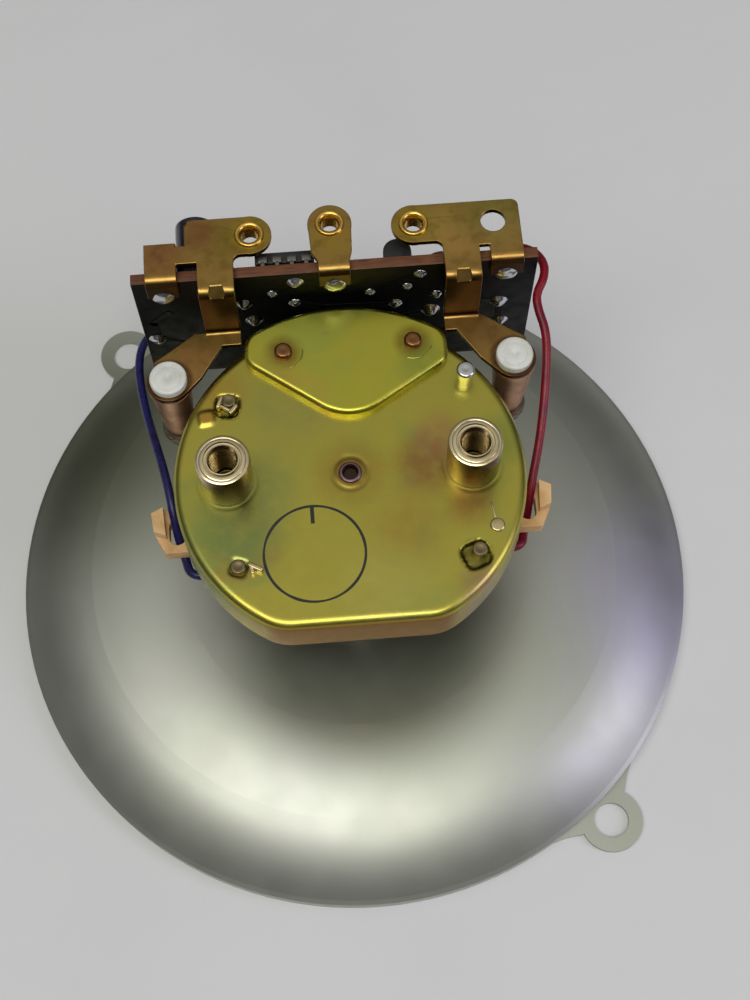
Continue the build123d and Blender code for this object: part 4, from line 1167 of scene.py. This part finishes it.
# ---- floor, light and camera
FLOOR_R = 3.5
FLOOR_OPENING_R = 0.0488
FLOOR_STEPS = 96
FLOOR_Z = -0.00002
# Light by direction: 0 straight down, 0.5 level, 1 straight up.
ROOM_LIGHT = [
    (0.0, (0.8, 0.8, 0.8)),
    (0.47, (0.5, 0.5, 0.5)),
    (0.495, (0.05, 0.05, 0.05)),
    (0.675, (0.09, 0.09, 0.09)),
    (0.875, (0.3, 0.3, 0.29)),
    (0.975, (0.6, 0.6, 0.57)),
]


def stage_floor():
    """Wide pale sheet, seen from above only, open under the dial so that its front is lit from below."""
    s = Shade("pale_sheet", srgb(216, 216, 216), Roughness=0.75)
    s.cloud(srgb(210, 210, 210), 0.4, 0.7, 0.5, 60, 3)
    s.bump(0.02, 1.4, 4)
    s.bump(0.4, 25, 3)
    sheet = s.done()
    tree = sheet.node_tree
    facing = tree.nodes.new("ShaderNodeNewGeometry").outputs["Backfacing"]
    clear = tree.nodes.new("ShaderNodeBsdfTransparent")
    mixed = tree.nodes.new("ShaderNodeMixShader")
    tree.links.new(facing, mixed.inputs[0])
    tree.links.new(s.shader.outputs[0], mixed.inputs[1])
    tree.links.new(clear.outputs[0], mixed.inputs[2])
    tree.links.new(mixed.outputs[0], tree.nodes["Material Output"].inputs["Surface"])
    bm = bmesh.new()
    rings = []
    for radius in (FLOOR_R, FLOOR_OPENING_R):
        turn = [2 * pi * i / FLOOR_STEPS for i in range(FLOOR_STEPS)]
        rings.append([bm.verts.new((radius * cos(a), radius * sin(a), FLOOR_Z)) for a in turn])
    band(bm, *rings)
    mesh = bpy.data.meshes.new("floor")
    bm.to_mesh(mesh)
    bm.free()
    mesh.materials.append(sheet)
    floor = in_scene("floor", mesh)


def area_light(name, azimuth, tilt, distance, size, power, colour):
    """Soft panel aimed at the object, tilt degrees from overhead towards an azimuth."""
    light = bpy.data.lights.new(name, "AREA")
    light.shape = "RECTANGLE"
    light.size, light.size_y = size
    light.energy = power
    light.color = colour
    lamp = in_scene(name, light)
    a, t = radians(azimuth), radians(tilt)
    away = Vector((cos(a) * sin(t), sin(a) * sin(t), cos(t)))
    lamp.location = Vector((0, 0, 0.01)) + away * distance
    lamp.rotation_mode = "QUATERNION"
    lamp.rotation_quaternion = (-away).to_track_quat("-Z", "Y")


def studio():
    """Room that is bright below the horizon and overhead, with two soft panels."""
    world = bpy.data.worlds.new("studio")
    world.use_nodes = True
    tree = world.node_tree
    way = tree.nodes.new("ShaderNodeTexCoord")
    parts = tree.nodes.new("ShaderNodeSeparateXYZ")
    tree.links.new(way.outputs["Generated"], parts.inputs["Vector"])
    room = tree.nodes.new("ShaderNodeValToRGB")
    height = tree.nodes.new("ShaderNodeMapRange")
    height.inputs["From Min"].default_value = -1.0
    tree.links.new(parts.outputs["Z"], height.inputs["Value"])
    tree.links.new(height.outputs["Result"], room.inputs["Fac"])
    while len(room.color_ramp.elements) < len(ROOM_LIGHT):
        room.color_ramp.elements.new(1.0)
    for element, (position, colour) in zip(room.color_ramp.elements, ROOM_LIGHT):
        element.position = position
        element.color = (*colour, 1)
    tree.links.new(room.outputs["Color"], tree.nodes["Background"].inputs["Color"])
    bpy.context.scene.world = world
    area_light("key_panel", -118, 20, 0.9, (0.8, 0.4), 3.6, (1.0, 1.0, 0.95))
    area_light("right_panel", -20, 58, 0.8, (0.3, 0.5), 1.7, (0.78, 0.74, 1.0))
    bpy.context.scene.view_settings.view_transform = "Standard"
    bpy.context.scene.view_settings.look = "None"


LENS = 54.0
CAMERA_TILT = 0.3962067
CAMERA_ROLL = -0.0076786
CAMERA_TURN = radians(-4.1)
CAMERA_TARGET = (0.003186922, 0.012441984, 0.0)
CAMERA_RANGE = 0.2359565


def camera():
    """Camera fitted to the photo through the edges of the dial and the cover."""
    data = bpy.data.cameras.new("camera")
    data.lens = LENS
    data.sensor_width = 36.0
    data.clip_start = 0.01
    eye = in_scene("camera", data)
    place = Matrix.Rotation(CAMERA_TURN, 4, "Z") @ Matrix.Translation(CAMERA_TARGET)
    place = place @ Matrix.Rotation(CAMERA_TILT, 4, "X") @ Matrix.Rotation(CAMERA_ROLL, 4, "Z")
    eye.matrix_world = place @ Matrix.Translation((0, 0, CAMERA_RANGE))
    bpy.context.scene.camera = eye


stage_floor()
studio()
camera()
